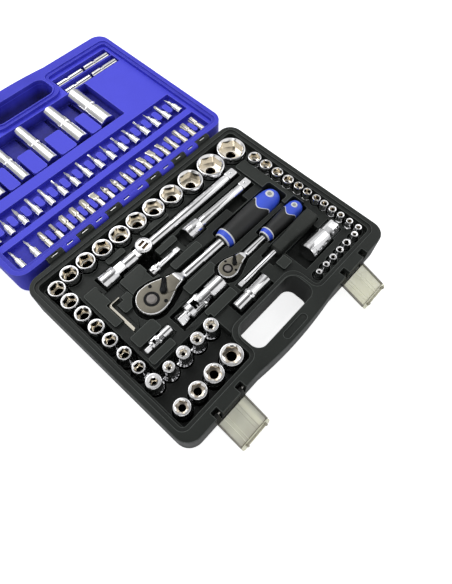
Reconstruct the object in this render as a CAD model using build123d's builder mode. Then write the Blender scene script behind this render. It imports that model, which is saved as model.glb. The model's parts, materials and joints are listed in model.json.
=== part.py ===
"""Socket wrench set in its moulded case: two hinged halves, two ratchets, bars, joints, sockets and bits.

Millimetres, +Z up. The origin is the bottom centre of the base half. The hinge runs along X behind the base,
and the lid lies open behind the hinge (+Y). The handle and the latches are on the front (-Y). Every tool lies
or stands in the pocket that holds it. Places across a half are given as its depth from the hinge side wall.
"""

import os
from dataclasses import dataclass
from math import cos, radians, sin

from build123d import *

os.makedirs("parts", exist_ok=True)

# ---- Driving dimensions: case halves ----
case_width = 379.0
case_depth = 283.0
half_height = 46.0
case_corner = 20.0
base_round = 6.0
rim_side = 12.0
rim_back = 12.0
rim_front = 20.5
tray_corner = 11.0
ledge_width = 5.0
ledge_drop = 2.0
base_land_drop = 11.5
lid_land_drop = 7.0
island_rise = 4.5
basin_floor = 20.0
basin_reach = 12.0
front_x = -0.5

# ---- Handle, half in each shell ----
hub_half = 63.0
hub_depth = 221.5
hub_corner = 18.0
gap_width = 108.5
gap_start = 228.5
gap_end = 267.0
gap_corner = 13.0
bow_half = 72.0
bow_rise = 4.5
thumb_width = 40.0
thumb_depth = 9.0
thumb_sink = 1.5

# ---- Hinge ----
hinge_gap = 5.5
rim_gap = 0.5
knuckle_radius = 5.2
knuckle_pitch = 24.4
knuckle_play = 0.5
pin_radius = 1.5
pin_play = 0.05
pin_end = 2.0
window_width = 10.0
window_depth = 3.2

# ---- Latches ----
latch_x = 120.0
latch_width = 47.0
latch_set_back = 5.0
latch_pivot_z = 35.0
latch_droop = 18.0
latch_root = 9.0
latch_reach = 52.0
latch_stand_off = 6.0
latch_plate = 3.0
latch_rib = 1.2
latch_rib_width = 2.0
latch_ribs = (-22.5, -15.0, -11.0, 11.0, 15.0, 22.5)
lip_width = 37.0
catch_width = 40.0
catch_depth = 6.0
latch_lip = 4.0
latch_hook = 5.0
ear_width = 7.5
ear_radius = 4.0
notch_play = 1.0
notch_depth = 12.5
latch_pin_radius = 1.4
catch_play = 0.9

# ---- Clearances in the tray ----
top_clear = 0.5
seat_play = 0.3
side_play = 3.0
end_play = 2.5
stand_play = 1.6

# ---- Half inch drive tools ----
half_drive = 12.7
half_body = 22.0
half_height_socket = 38.0
big_height_socket = 42.0
half_drive_depth = 16.0
bore_play = 0.2
row_gap = 1.6
half_sockets = [(24, 32.0), (22, 30.0), (21, 28.0), (20, 28.0), (19, 26.0), (18, 25.0), (17, 24.0)]
big_sockets_list = [(32, 42.0), (30, 40.0), (27, 36.0)]
column_sockets = [(16, 22.4), (15, 22.0), (14, 20.7), (13, 20.0), (12, 18.8), (11, 17.2), (10, 15.9)]
row_start_x = 153.9
column_x = -162.2
column_start_y = 110.4
column_pitch = 24.3
star_row = [(8.6, 14.4), (9.8, 16.8), (11.0, 16.9), (12.6, 18.8)]
star_row_y = -60.5
star_pitch = 23.5
star_back = [(14.4, 20.6), (16.4, 22.0), (18.2, 24.2), (22.1, 28.4)]
star_back_y = -103.5
star_back_x = -160.9
star_back_gap = 3.8
nose_height = 20.0
adaptor_body = 19.0
bit_hex = 8.0

# ---- Quarter inch drive tools ----
quarter_drive = 6.35
quarter_body = 12.0
quarter_height = 25.0
quarter_drive_depth = 9.0
quarter_drop = 1.5
quarter_wall_gap = 1.3
quarter_column = [
    (14, 19.5, 72.0),
    (13, 17.8, 51.3),
    (12, 16.4, 30.6),
    (11, 15.8, 11.0),
    (10, 13.2, -6.8),
    (9, 12.4, -22.2),
    (8, 11.5, -38.1),
    (7, 11.2, -51.6),
    (6, 10.7, -65.6),
    (5.5, 9.8, -79.6),
    (5, 9.3, -94.4),
    (4.5, 9.2, -108.9),
]
last_quarter = (4, 9.1, 157.5)
small_star_row = [(7.5, 10.6), (6.2, 9.6), (5.7, 9.2), (4.7, 8.4), (3.9, 7.6)]
small_row_y = -111.5
small_star_x = 139.4
small_star_pitch = 15.0
small_nose = 10.0

# ---- Lying tools in the base ----
bar_shank = 13.6
long_length = 250.0
long_x = -119.0
long_y = 79.6
collar_start = 37.0
collar_length = 20.0
collar_body = 17.0
short_length = 125.0
short_x = 7.0
short_y = 53.9
socket_end = 24.0
small_bar_length = 50.0
small_bar_x = -66.8
small_bar_y = 44.8
small_shank = 8.0
small_axis_z = 38.5
head_body = 23.4
head_x = -46.2
head_travel = 8.0
joint_length = 77.7
joint_x = -90.1
joint_y = -26.4
small_joint_length = 41.0
small_joint_x = -143.6
small_joint_y = -25.7
plug_small_body = 16.6
plug_small_collar = 19.4
plug_small_length = 58.0
plug_small_x = -28.5
plug_small_y = -66.5
plug_small_z = 36.0
plug_large_body = 27.6
plug_large_length = 60.0
plug_large_x = 97.2
plug_large_y = -80.3
plug_hex_end = 22.0
spinner_shaft_body = 7.0
spinner_tip_x = -2.6
spinner_face_x = 68.8
spinner_rear_x = 148.5
spinner_y = -48.6
spinner_radius = 9.8
spinner_waist = 7.9
key_x = -133.4
key_y = 50.0
key_long = 46.0
key_short = 16.0
key_sizes = [2.5, 2.0, 1.5]
key_gap = 0.3
key_bend = 3.0
key_sink = 0.5

# ---- Lid contents ----
rest_floor_drop = 14.3
deep_floor_drop = 27.8
bit_length = 30.0
bit_start = 14.3
bit_x = -126.0
bit_pitch = 17.82
bit_count = 17
bit_tongue = 7.4
bit_tongue_length = 19.0
bit_socket_body = 11.0
bit_socket_length = 36.0
bit_socket_start = 64.7
bit_socket_x = -171.0
bit_socket_pitch = 22.15
bit_socket_count = 16
extra_bit_socket_x = -170.0
extra_bit_socket_pitch = 23.3
bit_socket_tongue = 9.8
row_one_end = 51.2
row_two_start = 62.0
row_two_end = 105.0
row_three_start = 123.0
row_three_end = 216.0
deep_length = 82.0
deep_start = 130.0
deep_sockets_list = [
    (-120.1, 17.0, 10),
    (-79.8, 18.6, 12),
    (-32.4, 20.6, 14),
    (22.6, 23.4, 17),
    (71.6, 26.6, 19),
]
block_length = 46.0
block_play = 2.2
small_deep_length = 50.0
small_deep_list = [(10, 13.6), (11, 14.6), (12, 15.6), (13, 16.6), (6, 12.0), (7, 12.0), (8, 12.0), (9, 12.6)]
small_deep_in = 67.5
small_deep_step = 54.0
small_deep_depths = (226.5, 247.0)
small_deep_floor_drop = 20.0

# ---- Worked out from the driving dimensions ----
hinge_y = case_depth / 2 + hinge_gap
hinge_z = half_height + rim_gap / 2
tool_top = half_height - top_clear
base_land = half_height - base_land_drop
lid_land = half_height - lid_land_drop
ledge_z = half_height - ledge_drop
BASE = -1
LID = 1


def across(side, depth):
    """Y of a place that lies this deep from the hinge side wall of one half."""
    return hinge_y + side * (hinge_gap + depth)


tray_back = across(BASE, rim_back)
tray_right = case_width / 2 - rim_side


# ---- Sketch helpers: each returns a flat face or faces to extrude ----
def discs(places, z):
    """Circles of the given diameters at the given places."""
    with BuildSketch(Plane.XY.offset(z)) as drawn:
        for x, y, diameter in places:
            with Locations((x, y)):
                Circle(diameter / 2)
    return drawn.sketch


def prisms(places, z, sides, turn=0.0):
    """Regular polygons, given by their size across flats."""
    with BuildSketch(Plane.XY.offset(z)) as drawn:
        for x, y, flats in places:
            with Locations((x, y)):
                RegularPolygon(flats / 2, sides, major_radius=False, rotation=turn)
    return drawn.sketch


def stars(places, plane):
    """Six pointed stars of the given outer diameters, with blunt points."""
    with BuildSketch(plane) as drawn:
        for x, y, size in places:
            with Locations((x, y)):
                RegularPolygon(size * 0.39, 6, major_radius=True)
                with PolarLocations(size * 0.36, 6, start_angle=30.0):
                    Rectangle(size * 0.28, size * 0.2)
    return drawn.sketch


def plates(plane, rectangles):
    """Rectangles given by their low and high corners."""
    with BuildSketch(plane) as drawn:
        for x_low, y_low, x_high, y_high in rectangles:
            with Locations(((x_low + x_high) / 2, (y_low + y_high) / 2)):
                Rectangle(x_high - x_low, y_high - y_low)
    return drawn.sketch


def rounded(z, rectangles, radius):
    """Round cornered rectangles given by their low and high corners."""
    with BuildSketch(Plane.XY.offset(z)) as drawn:
        for x_low, y_low, x_high, y_high in rectangles:
            with Locations(((x_low + x_high) / 2, (y_low + y_high) / 2)):
                RectangleRounded(x_high - x_low, y_high - y_low, radius)
    return drawn.sketch


def disc_on(plane, diameter, at=(0.0, 0.0)):
    """One circle on any plane."""
    with BuildSketch(plane) as drawn:
        with Locations(at):
            Circle(diameter / 2)
    return drawn.sketch


def polygon_on(plane, flats, sides, turn=0.0):
    """One regular polygon on any plane, given across flats."""
    with BuildSketch(plane) as drawn:
        RegularPolygon(flats / 2, sides, major_radius=False, rotation=turn)
    return drawn.sketch


def along_x(x, y, z):
    """A plane that faces +X with its origin on a lying tool's axis."""
    return Plane(origin=(x, y, z), x_dir=(0, 1, 0), z_dir=(1, 0, 0))


def along_y(x, y, z):
    """A plane that faces +Y with its origin on a lying tool's axis."""
    return Plane(origin=(x, y, z), x_dir=(-1, 0, 0), z_dir=(0, 1, 0))


# ---- Plans of the case ----
def tray_plan(side, grow, z):
    """The tray inside the rim: a rectangle less the block that carries the handle, with round corners."""
    start = rim_back - grow
    end = case_depth - rim_front + grow
    hub_start = hub_depth + grow
    hub_end = case_depth + rim_front
    with BuildSketch(Plane.XY.offset(z)) as plan:
        with Locations((0, across(side, (start + end) / 2))):
            Rectangle(2 * (tray_right + grow), end - start)
        with Locations((front_x, across(side, (hub_start + hub_end) / 2))):
            Rectangle(2 * (hub_half - grow), hub_end - hub_start, mode=Mode.SUBTRACT)
        fillet(plan.vertices().group_by(Axis.Y)[1], hub_corner)
        fillet(plan.vertices().group_by(Axis.Y)[0], tray_corner - ledge_width + grow)
        fillet(plan.vertices().group_by(Axis.Y)[-1], tray_corner - ledge_width + grow)
    return plan.sketch


def bow_plan(side):
    """The bowed front of the handle."""
    front = across(side, case_depth)
    inner = across(side, case_depth - rim_front / 4)
    with BuildSketch(Plane.XY.offset(base_round)) as plan:
        with BuildLine():
            ThreePointArc(
                (front_x - bow_half, front),
                (front_x, front + side * bow_rise),
                (front_x + bow_half, front),
            )
            Polyline(
                (front_x + bow_half, front),
                (front_x + bow_half, inner),
                (front_x - bow_half, inner),
                (front_x - bow_half, front),
            )
        make_face()
    return plan.sketch


def gap_plan(side):
    """The finger gap of the handle."""
    with BuildSketch() as plan:
        with Locations((front_x, across(side, (gap_start + gap_end) / 2))):
            RectangleRounded(gap_width, gap_end - gap_start, gap_corner)
    return plan.sketch


def thumb_plan(side):
    """The shallow thumb rest on the handle bar."""
    with BuildSketch(Plane.XY.offset(half_height - thumb_sink)) as plan:
        with Locations((front_x, across(side, (gap_end + case_depth + bow_rise) / 2))):
            SlotOverall(thumb_width, thumb_depth)
    return plan.sketch


def knuckle_plan(side):
    """Side view of a knuckle with the web that joins it to its wall."""
    web_low = hinge_z - knuckle_radius
    wall = across(side, rim_back / 4)
    with BuildSketch(Plane.YZ) as plan:
        with Locations((hinge_y, hinge_z)):
            Circle(knuckle_radius)
        with Locations(((hinge_y + wall) / 2, (web_low + half_height) / 2)):
            Rectangle(abs(wall - hinge_y), half_height - web_low)
    return plan.sketch


base_knuckles = [(k * knuckle_pitch, knuckle_pitch) for k in (-5.5, -3.5, -1.5, 1.5, 3.5, 5.5)]
lid_knuckles = [(k * knuckle_pitch, knuckle_pitch) for k in (-4.5, -2.5, 2.5, 4.5)]
lid_knuckles.append((0.0, 2 * knuckle_pitch))
hinge_length = 12 * knuckle_pitch
latch_places = (front_x - latch_x, front_x + latch_x)


def add_knuckles(side, places):
    """Knuckles on the hinge line, bored for the pin, each with a window that shows it."""
    plan = knuckle_plan(side)
    for x, width in places:
        long = width - knuckle_play
        extrude(plan.moved(Location((x - long / 2, 0, 0))), amount=long)
    bore = disc_on(along_x(-hinge_length / 2, hinge_y, hinge_z), 2 * (pin_radius + pin_play))
    extrude(bore, amount=hinge_length, mode=Mode.SUBTRACT)
    for x, width in places:
        centres = [x] if width < 1.5 * knuckle_pitch else [x - width / 4, x + width / 4]
        for centre in centres:
            window = plates(
                Plane.XY.offset(hinge_z + pin_radius / 2),
                [
                    (
                        centre - window_width / 2,
                        hinge_y - window_depth / 2,
                        centre + window_width / 2,
                        hinge_y + window_depth / 2,
                    )
                ],
            )
            extrude(window, amount=knuckle_radius, mode=Mode.SUBTRACT)


# ---- Places of the standing sockets ----
def run_of(sizes, start, step_sign, gap):
    """Centres along X of sockets that stand side by side with an even gap."""
    places = []
    x = start
    for index, (size, body) in enumerate(sizes):
        if index:
            x += step_sign * ((sizes[index - 1][1] + body) / 2 + gap)
        places.append((x, body, size))
    return places


hinge_row = run_of(big_sockets_list + half_sockets, row_start_x, -1, row_gap)
wall_clear = tray_back - stand_play
big_places = [(x, wall_clear - body / 2, body, size) for x, body, size in hinge_row[:3]]
row_places = [(x, wall_clear - body / 2, body, size) for x, body, size in hinge_row[3:]]
column_places = [
    (column_x, column_start_y - i * column_pitch, body, size) for i, (size, body) in enumerate(column_sockets)
]
adaptor_y = column_start_y - len(column_sockets) * column_pitch
adaptor_place = (column_x, adaptor_y)
star_places = [
    (column_x + (i + 1) * star_pitch, star_row_y, body, size) for i, (size, body) in enumerate(star_row)
]
star_back_places = [
    (x, star_back_y, body, size) for x, body, size in run_of(star_back, star_back_x, 1, star_back_gap)
]
quarter_places = [
    (tray_right - quarter_wall_gap - max(body, quarter_body) / 2, y, body, size)
    for size, body, y in quarter_column
]
quarter_places.append((last_quarter[2], small_row_y, last_quarter[1], last_quarter[0]))
small_star_places = [
    (small_star_x - i * small_star_pitch, small_row_y, body, size)
    for i, (size, body) in enumerate(small_star_row)
]


@dataclass
class Ratchet:
    """Sizes of a pear head ratchet; x runs from the gear centre along the handle."""

    name: str
    x: float
    y: float
    turn: float
    head: float
    shoulder_x: float
    shoulder: float
    neck_x: float
    shank: float
    cover_top: float
    head_bottom: float
    drive: float
    drive_length: float
    gear: float
    teeth: int
    ring: float
    button: float
    lever_x: float
    lever_y: float
    lever_hub: float
    lever_length: float
    screw_x: float
    screw_y: float
    screw: float
    grip_start: float
    collar: float
    collar_length: float
    grip: float
    grip_waist: float
    end_x: float
    cap_length: float
    eye_x: float
    eye: float

    @property
    def axis_z(self):
        """Height of the handle's axis: the grip just clears the rim."""
        return tool_top - self.grip

    @property
    def lie(self):
        """Plan of the ratchet, its origin at the gear centre on the floor of the case."""
        a = radians(self.turn)
        return Plane(origin=(self.x, self.y, 0), x_dir=(cos(a), sin(a), 0), z_dir=(0, 0, 1))

    def across_handle(self, x):
        """A plane across the handle at x, facing along it."""
        a = radians(self.turn)
        place = self.lie.from_local_coords((x, 0, self.axis_z))
        return Plane(origin=place, x_dir=(-sin(a), cos(a), 0), z_dir=(cos(a), sin(a), 0))

    def side(self):
        """A plane through the handle's axis that faces sideways: X along the handle, Y up."""
        a = radians(self.turn)
        place = self.lie.from_local_coords((0, 0, self.axis_z))
        return Plane(origin=place, x_dir=(cos(a), sin(a), 0), z_dir=(sin(a), -cos(a), 0))


big = Ratchet(
    name="big_ratchet",
    x=-92.3,
    y=16.2,
    turn=-0.7,
    head=20.8,
    shoulder_x=9.0,
    shoulder=19.6,
    neck_x=47.0,
    shank=13.6,
    cover_top=43.3,
    head_bottom=20.5,
    drive=half_drive,
    drive_length=15.0,
    gear=15.0,
    teeth=32,
    ring=10.2,
    button=6.8,
    lever_x=17.4,
    lever_y=-2.4,
    lever_hub=5.0,
    lever_length=20.0,
    screw_x=10.4,
    screw_y=14.4,
    screw=2.3,
    grip_start=126.0,
    collar=14.6,
    collar_length=12.0,
    grip=15.7,
    grip_waist=13.6,
    end_x=239.0,
    cap_length=27.0,
    eye_x=222.5,
    eye=6.2,
)
small = Ratchet(
    name="small_ratchet",
    x=4.1,
    y=-22.4,
    turn=-0.4,
    head=13.4,
    shoulder_x=6.0,
    shoulder=12.4,
    neck_x=28.5,
    shank=8.6,
    cover_top=41.6,
    head_bottom=26.4,
    drive=quarter_drive,
    drive_length=8.0,
    gear=9.6,
    teeth=24,
    ring=6.9,
    button=4.5,
    lever_x=11.2,
    lever_y=-1.6,
    lever_hub=3.3,
    lever_length=13.0,
    screw_x=5.6,
    screw_y=9.2,
    screw=1.7,
    grip_start=72.0,
    collar=10.2,
    collar_length=10.5,
    grip=11.7,
    grip_waist=9.9,
    end_x=148.0,
    cap_length=18.0,
    eye_x=134.6,
    eye=4.6,
)
cover_thick = 2.2
cover_inset = 1.4
shell_wall = 3.0
gear_play = 0.3
journal_play = 0.08
fit_play = 0.05
lever_thick = 2.0
lever_stem = 2.0
button_stem = 1.5
button_travel = 2.0
tang_ratio = 0.62
grip_wall_play = 0.05
socket_bore = (0.9, 0.55)


def in_tray(side, z, flat):
    """The part of a plan that lies inside the rim of one half."""
    with BuildSketch(Plane.XY.offset(z)) as drawn:
        add(flat)
        add(tray_plan(side, 0.0, z), mode=Mode.INTERSECT)
    return drawn.sketch


# ---- Base half ----
def pocket_trench(places, z, play):
    """A scalloped trench round standing sockets, kept inside the rim."""
    return in_tray(BASE, z, discs([(x, y, body + 2 * play) for x, y, body, size in places], z))


def ratchet_pocket(r, z, handle_only):
    """Trench that follows a ratchet's plan with room for fingers."""
    with BuildSketch(r.lie.offset(z)) as drawn:
        if handle_only:
            with Locations(((r.neck_x + r.grip_start) / 2, 0)):
                Rectangle(r.grip_start - r.neck_x + 2 * end_play, r.shank + 2 * side_play)
            with Locations(((r.grip_start + r.end_x) / 2, 0)):
                RectangleRounded(r.end_x - r.grip_start + 2 * end_play, 2 * (r.grip + side_play / 2), r.shank / 3)
        else:
            Circle(r.head + side_play + 1.0)
            with Locations((r.shoulder_x, 0)):
                Circle(r.shoulder + side_play + 1.0)
            with Locations((r.neck_x + end_play, 0)):
                Circle(r.shank / 2 + side_play)
            make_hull()
    return drawn.sketch


def lying_pocket(x_low, x_high, y, body, play=side_play):
    """Rectangle round a tool that lies along X."""
    return (x_low - end_play, y - body / 2 - play, x_high + end_play, y + body / 2 + play)


def floor_under(axis_z, body):
    """Floor height that a lying round tool rests on."""
    return axis_z - body / 2 - seat_play


half_axis_z = tool_top - half_body / 2
plug_large_z = tool_top - plug_large_body / 2
spinner_z = tool_top - spinner_radius
head_top = tool_top
head_bottom = half_axis_z - bar_shank / 2 - shell_wall
socket_floor = tool_top - half_height_socket - seat_play
big_floor = tool_top - big_height_socket - seat_play
quarter_top = half_height - quarter_drop
quarter_floor = quarter_top - quarter_height - seat_play
key_floor = base_land - key_sink

with BuildPart() as base_shell:
    with BuildSketch() as block:
        with Locations((0, across(BASE, case_depth / 2))):
            RectangleRounded(case_width, case_depth, case_corner)
    extrude(amount=half_height)
    fillet(base_shell.edges().group_by(Axis.Z)[0], base_round)
    extrude(bow_plan(BASE), amount=half_height - base_round)
    extrude(tray_plan(BASE, ledge_width, ledge_z), amount=ledge_drop, mode=Mode.SUBTRACT)
    extrude(tray_plan(BASE, 0.0, base_land), amount=base_land_drop, mode=Mode.SUBTRACT)
    islands = rounded(
        base_land,
        [
            (-147.0, 22.0, -127.0, 82.0),
            (-145.0, -18.0, -108.0, 0.0),
            (-148.0, -45.5, -111.0, -34.5),
            (-103.0, 30.0, -61.0, 65.0),
            (-126.0, 27.0, -104.0, 49.0),
            (-95.0, 92.0, -66.0, 101.0),
            (-36.0, 92.0, 12.0, 100.5),
            (-45.0, 56.0, -7.0, 66.0),
            (-42.0, 25.0, 8.0, 37.0),
            (-54.0, -14.0, -2.0, 2.0),
            (-60.0, -55.0, -12.0, -41.0),
            (136.0, -30.0, 156.0, 83.0),
            (54.0, -76.0, 71.0, -60.0),
        ],
        2.8,
    )
    extrude(islands, amount=island_rise)
    # low floors that the side column and the star sockets stand in
    basins = plates(
        Plane.XY.offset(basin_floor),
        [
            (column_x - basin_reach, star_row_y, column_x + basin_reach, tray_back - 6.0),
            (column_x - basin_reach, -case_depth, star_places[-1][0] + basin_reach, star_row_y + basin_reach),
        ],
    )
    extrude(in_tray(BASE, basin_floor, basins), amount=half_height, mode=Mode.SUBTRACT)
    # trenches for the standing sockets
    trench_wall = plates(Plane.XY.offset(socket_floor), [(row_places[-1][0], wall_clear - 8.0, row_start_x, tray_back)])
    extrude(trench_wall, amount=half_height, mode=Mode.SUBTRACT)
    row_trench = [(x, y, max(body, half_body), size) for x, y, body, size in row_places + column_places]
    extrude(pocket_trench(row_trench, socket_floor, stand_play), amount=half_height, mode=Mode.SUBTRACT)
    extrude(pocket_trench(big_places, big_floor, stand_play), amount=half_height, mode=Mode.SUBTRACT)
    star_trench = [(x, y, half_body, size) for x, y, body, size in star_places]
    star_trench.append((adaptor_place[0], adaptor_place[1], half_body, bit_hex))
    extrude(pocket_trench(star_trench, socket_floor, stand_play), amount=half_height, mode=Mode.SUBTRACT)
    back_trench = [(x, y, max(body, half_body), size) for x, y, body, size in star_back_places]
    extrude(pocket_trench(back_trench, socket_floor, stand_play), amount=half_height, mode=Mode.SUBTRACT)
    small_trench = [(x, y, max(body, quarter_body), size) for x, y, body, size in quarter_places + small_star_places]
    extrude(pocket_trench(small_trench, quarter_floor, stand_play), amount=half_height, mode=Mode.SUBTRACT)
    # trenches for the lying tools
    bar_floor = floor_under(half_axis_z, half_body)
    bar_plan = plates(
        Plane.XY.offset(bar_floor),
        [
            lying_pocket(long_x, long_x + socket_end, long_y, half_body, 1.5),
            lying_pocket(long_x, long_x + long_length, long_y, bar_shank),
            lying_pocket(short_x, short_x + socket_end, short_y, half_body, 1.5),
            lying_pocket(short_x, short_x + short_length, short_y, bar_shank),
            lying_pocket(joint_x, joint_x + joint_length, joint_y, half_body, 2.0),
        ],
    )
    extrude(bar_plan, amount=half_height, mode=Mode.SUBTRACT)
    head_slot = plates(
        Plane.XY.offset(head_bottom - half_drive_depth - seat_play),
        [
            (
                head_x - head_body / 2 - 1.0,
                long_y - head_body / 2 - 1.0,
                head_x + head_body / 2 + head_travel + 1.0,
                long_y + head_body / 2 + 1.0,
            ),
            (head_x - 21.0, long_y - 32.0, head_x + 6.0, long_y),
        ],
    )
    extrude(head_slot, amount=half_height, mode=Mode.SUBTRACT)
    small_bar_floor = floor_under(small_axis_z, quarter_body)
    small_plan = plates(
        Plane.XY.offset(small_bar_floor),
        [
            lying_pocket(small_bar_x, small_bar_x + small_bar_length, small_bar_y, quarter_body, 1.0),
            lying_pocket(small_joint_x, small_joint_x + small_joint_length, small_joint_y, quarter_body, 1.5),
            lying_pocket(spinner_tip_x, spinner_face_x, spinner_y, spinner_shaft_body, 2.0),
        ],
    )
    extrude(small_plan, amount=half_height, mode=Mode.SUBTRACT)
    plug_plan = plates(
        Plane.XY.offset(floor_under(plug_small_z, plug_small_collar)),
        [lying_pocket(plug_small_x, plug_small_x + plug_small_length, plug_small_y, plug_small_collar, 1.5)],
    )
    extrude(plug_plan, amount=half_height, mode=Mode.SUBTRACT)
    plug_large_plan = plates(
        Plane.XY.offset(floor_under(plug_large_z, plug_large_body)),
        [
            (
                plug_large_x - 21.0,
                plug_large_y - plug_large_body / 2 - 1.5,
                plug_large_x + plug_large_length - plug_hex_end + end_play,
                plug_large_y + plug_large_body / 2 + 9.0,
            ),
            lying_pocket(plug_large_x, plug_large_x + plug_large_length - 1.0, plug_large_y, plug_hex_end, 1.0),
        ],
    )
    extrude(plug_large_plan, amount=half_height, mode=Mode.SUBTRACT)
    spinner_plan = plates(
        Plane.XY.offset(floor_under(spinner_z, 2 * spinner_radius)),
        [
            lying_pocket(spinner_face_x, spinner_rear_x, spinner_y, 2 * spinner_radius, 0.8),
            (spinner_face_x - 18.0, spinner_y - 12.5, spinner_face_x, spinner_y + 9.5),
        ],
    )
    extrude(spinner_plan, amount=half_height, mode=Mode.SUBTRACT)
    for r in (big, small):
        handle_floor = floor_under(r.axis_z, 2 * r.grip)
        extrude(ratchet_pocket(r, handle_floor, True), amount=half_height, mode=Mode.SUBTRACT)
        extrude(ratchet_pocket(r, r.head_bottom - seat_play, False), amount=half_height, mode=Mode.SUBTRACT)
        drive_floor = r.head_bottom - r.drive_length - seat_play
        drive_well = disc_on(r.lie.offset(drive_floor), 1.42 * r.drive + side_play)
        extrude(drive_well, amount=half_height, mode=Mode.SUBTRACT)
    finger_wells = plates(Plane.XY.offset(bar_floor), [(76.0, 33.0, 108.0, 45.0), (-6.0, 42.5, 6.0, 65.0)])
    extrude(finger_wells, amount=half_height, mode=Mode.SUBTRACT)
    key_pocket = plates(
        Plane.XY.offset(key_floor),
        [
            (key_x - 1.7, key_y - key_long - 1.0, key_x + sum(key_sizes) + 1.4, key_y + 1.8),
            (key_x - 1.7, key_y - sum(key_sizes) - 1.4, key_x + key_short + 1.5, key_y + 1.8),
            (key_x + 6.0, key_y - 2.0, key_x + 27.0, key_y + 17.0),
        ],
    )
    extrude(key_pocket, amount=half_height, mode=Mode.SUBTRACT)
    # handle, hinge and latch seats
    extrude(gap_plan(BASE), amount=half_height, mode=Mode.SUBTRACT)
    extrude(thumb_plan(BASE), amount=thumb_sink, mode=Mode.SUBTRACT)
    add_knuckles(BASE, base_knuckles)
    pivot_y = across(BASE, case_depth - latch_set_back)
    for place in latch_places:
        for hand in (-1, 1):
            notch_x = place + hand * (latch_width - ear_width) / 2
            notch = plates(
                Plane.XY.offset(latch_pivot_z - notch_depth),
                [
                    (
                        notch_x - ear_width / 2 - notch_play,
                        across(BASE, case_depth + 1.0),
                        notch_x + ear_width / 2 + notch_play,
                        pivot_y + ear_radius + notch_play,
                    )
                ],
            )
            extrude(notch, amount=half_height, mode=Mode.SUBTRACT)
        pin_hole = disc_on(
            along_x(place - latch_width / 2 - shell_wall, pivot_y, latch_pivot_z),
            2 * (latch_pin_radius + fit_play),
        )
        extrude(pin_hole, amount=latch_width + 2 * shell_wall, mode=Mode.SUBTRACT)
base_shell.part.label = "base_shell"
export_step(base_shell.part, "parts/base_shell.step")

# ---- Pins ----
with BuildPart() as hinge_pin:
    pin_length = hinge_length - 2 * pin_end
    extrude(disc_on(along_x(-pin_length / 2, hinge_y, hinge_z), 2 * pin_radius), amount=pin_length)
hinge_pin.part.label = "hinge_pin"
export_step(hinge_pin.part, "parts/hinge_pin.step")

with BuildPart() as latch_pins:
    pin_half = latch_width / 2 + shell_wall - seat_play
    for place in latch_places:
        pin_round = disc_on(along_x(place - pin_half, pivot_y, latch_pivot_z), 2 * latch_pin_radius)
        extrude(pin_round, amount=2 * pin_half)
latch_pins.part.label = "latch_pins"
export_step(latch_pins.part, "parts/latch_pins.step")


# ---- Latches ----
def latch_plane(x):
    """A side view plane at the latch pivot: X runs out along the plate, Y away from its lower face."""
    a = radians(latch_droop)
    return Plane(origin=(x, pivot_y, latch_pivot_z), x_dir=(0, -cos(a), -sin(a)), z_dir=(-1, 0, 0))


def latch_at(place):
    """One latch, swung down: a ribbed plate with two pivot ears and a lip that hooks into the lid."""
    low = -latch_stand_off - latch_plate
    with BuildPart() as latch:
        plate = plates(
            latch_plane(place + latch_width / 2),
            [(latch_root, low, latch_reach, low + latch_plate - latch_rib)],
        )
        extrude(plate, amount=latch_width)
        for offset in latch_ribs:
            rib = plates(
                latch_plane(place + offset + latch_rib_width / 2),
                [(latch_root, low, latch_reach - latch_lip, low + latch_plate)],
            )
            extrude(rib, amount=latch_rib_width)
        lip = plates(
            latch_plane(place + lip_width / 2),
            [(latch_reach - latch_lip, low, latch_reach, latch_hook - latch_stand_off)],
        )
        extrude(lip, amount=lip_width)
        for hand in (-1, 1):
            ear_x = place + hand * (latch_width - ear_width) / 2
            with BuildSketch(latch_plane(ear_x + ear_width / 2)) as ear:
                Circle(ear_radius)
                with Locations((latch_root + latch_plate / 4, low + latch_plate / 2)):
                    Rectangle(latch_plate / 2, latch_plate)
                make_hull()
            extrude(ear.sketch, amount=ear_width)
        bore = disc_on(
            along_x(place - latch_width / 2, pivot_y, latch_pivot_z), 2 * (latch_pin_radius + fit_play)
        )
        extrude(bore, amount=latch_width, mode=Mode.SUBTRACT)
    return latch


latch_left = latch_at(latch_places[0])
latch_left.part.label = "latch_left"
export_step(latch_left.part, "parts/latch_left.step")
latch_right = latch_at(latch_places[1])
latch_right.part.label = "latch_right"
export_step(latch_right.part, "parts/latch_right.step")

# ---- Lid half, lying open behind the hinge ----
rest_floor = half_height - rest_floor_drop
deep_axis_z = tool_top - deep_sockets_list[-1][1] / 2
deep_trough_floor = deep_axis_z - deep_sockets_list[0][1] / 2 - seat_play
small_deep_floor = half_height - small_deep_floor_drop
bit_places = [bit_x + i * bit_pitch for i in range(bit_count)]
bit_socket_places = [bit_socket_x + i * bit_socket_pitch for i in range(bit_socket_count)]
extra_places = [extra_bit_socket_x, extra_bit_socket_x + extra_bit_socket_pitch]
small_deep_places = []
for i, (size, body) in enumerate(small_deep_list):
    hand = -1 if i < 4 else 1
    column = i % 2
    row = (i // 2) % 2
    start = small_deep_in + column * small_deep_step
    middle = front_x + hand * (start + small_deep_length / 2)
    small_deep_places.append((middle, across(LID, small_deep_depths[row]), body, size))


def lid_band(x_low, depth_low, x_high, depth_high):
    """Low and high corners of a rectangle in the lid, its ends given as depths."""
    return (x_low, across(LID, depth_low), x_high, across(LID, depth_high))


def tongues(centres, width, depth_low, depth_high):
    """Rounded lumps half way between neighbouring places."""
    return [
        lid_band((a + b - width) / 2, depth_low, (a + b + width) / 2, depth_high)
        for a, b in zip(centres, centres[1:])
    ]


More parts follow.
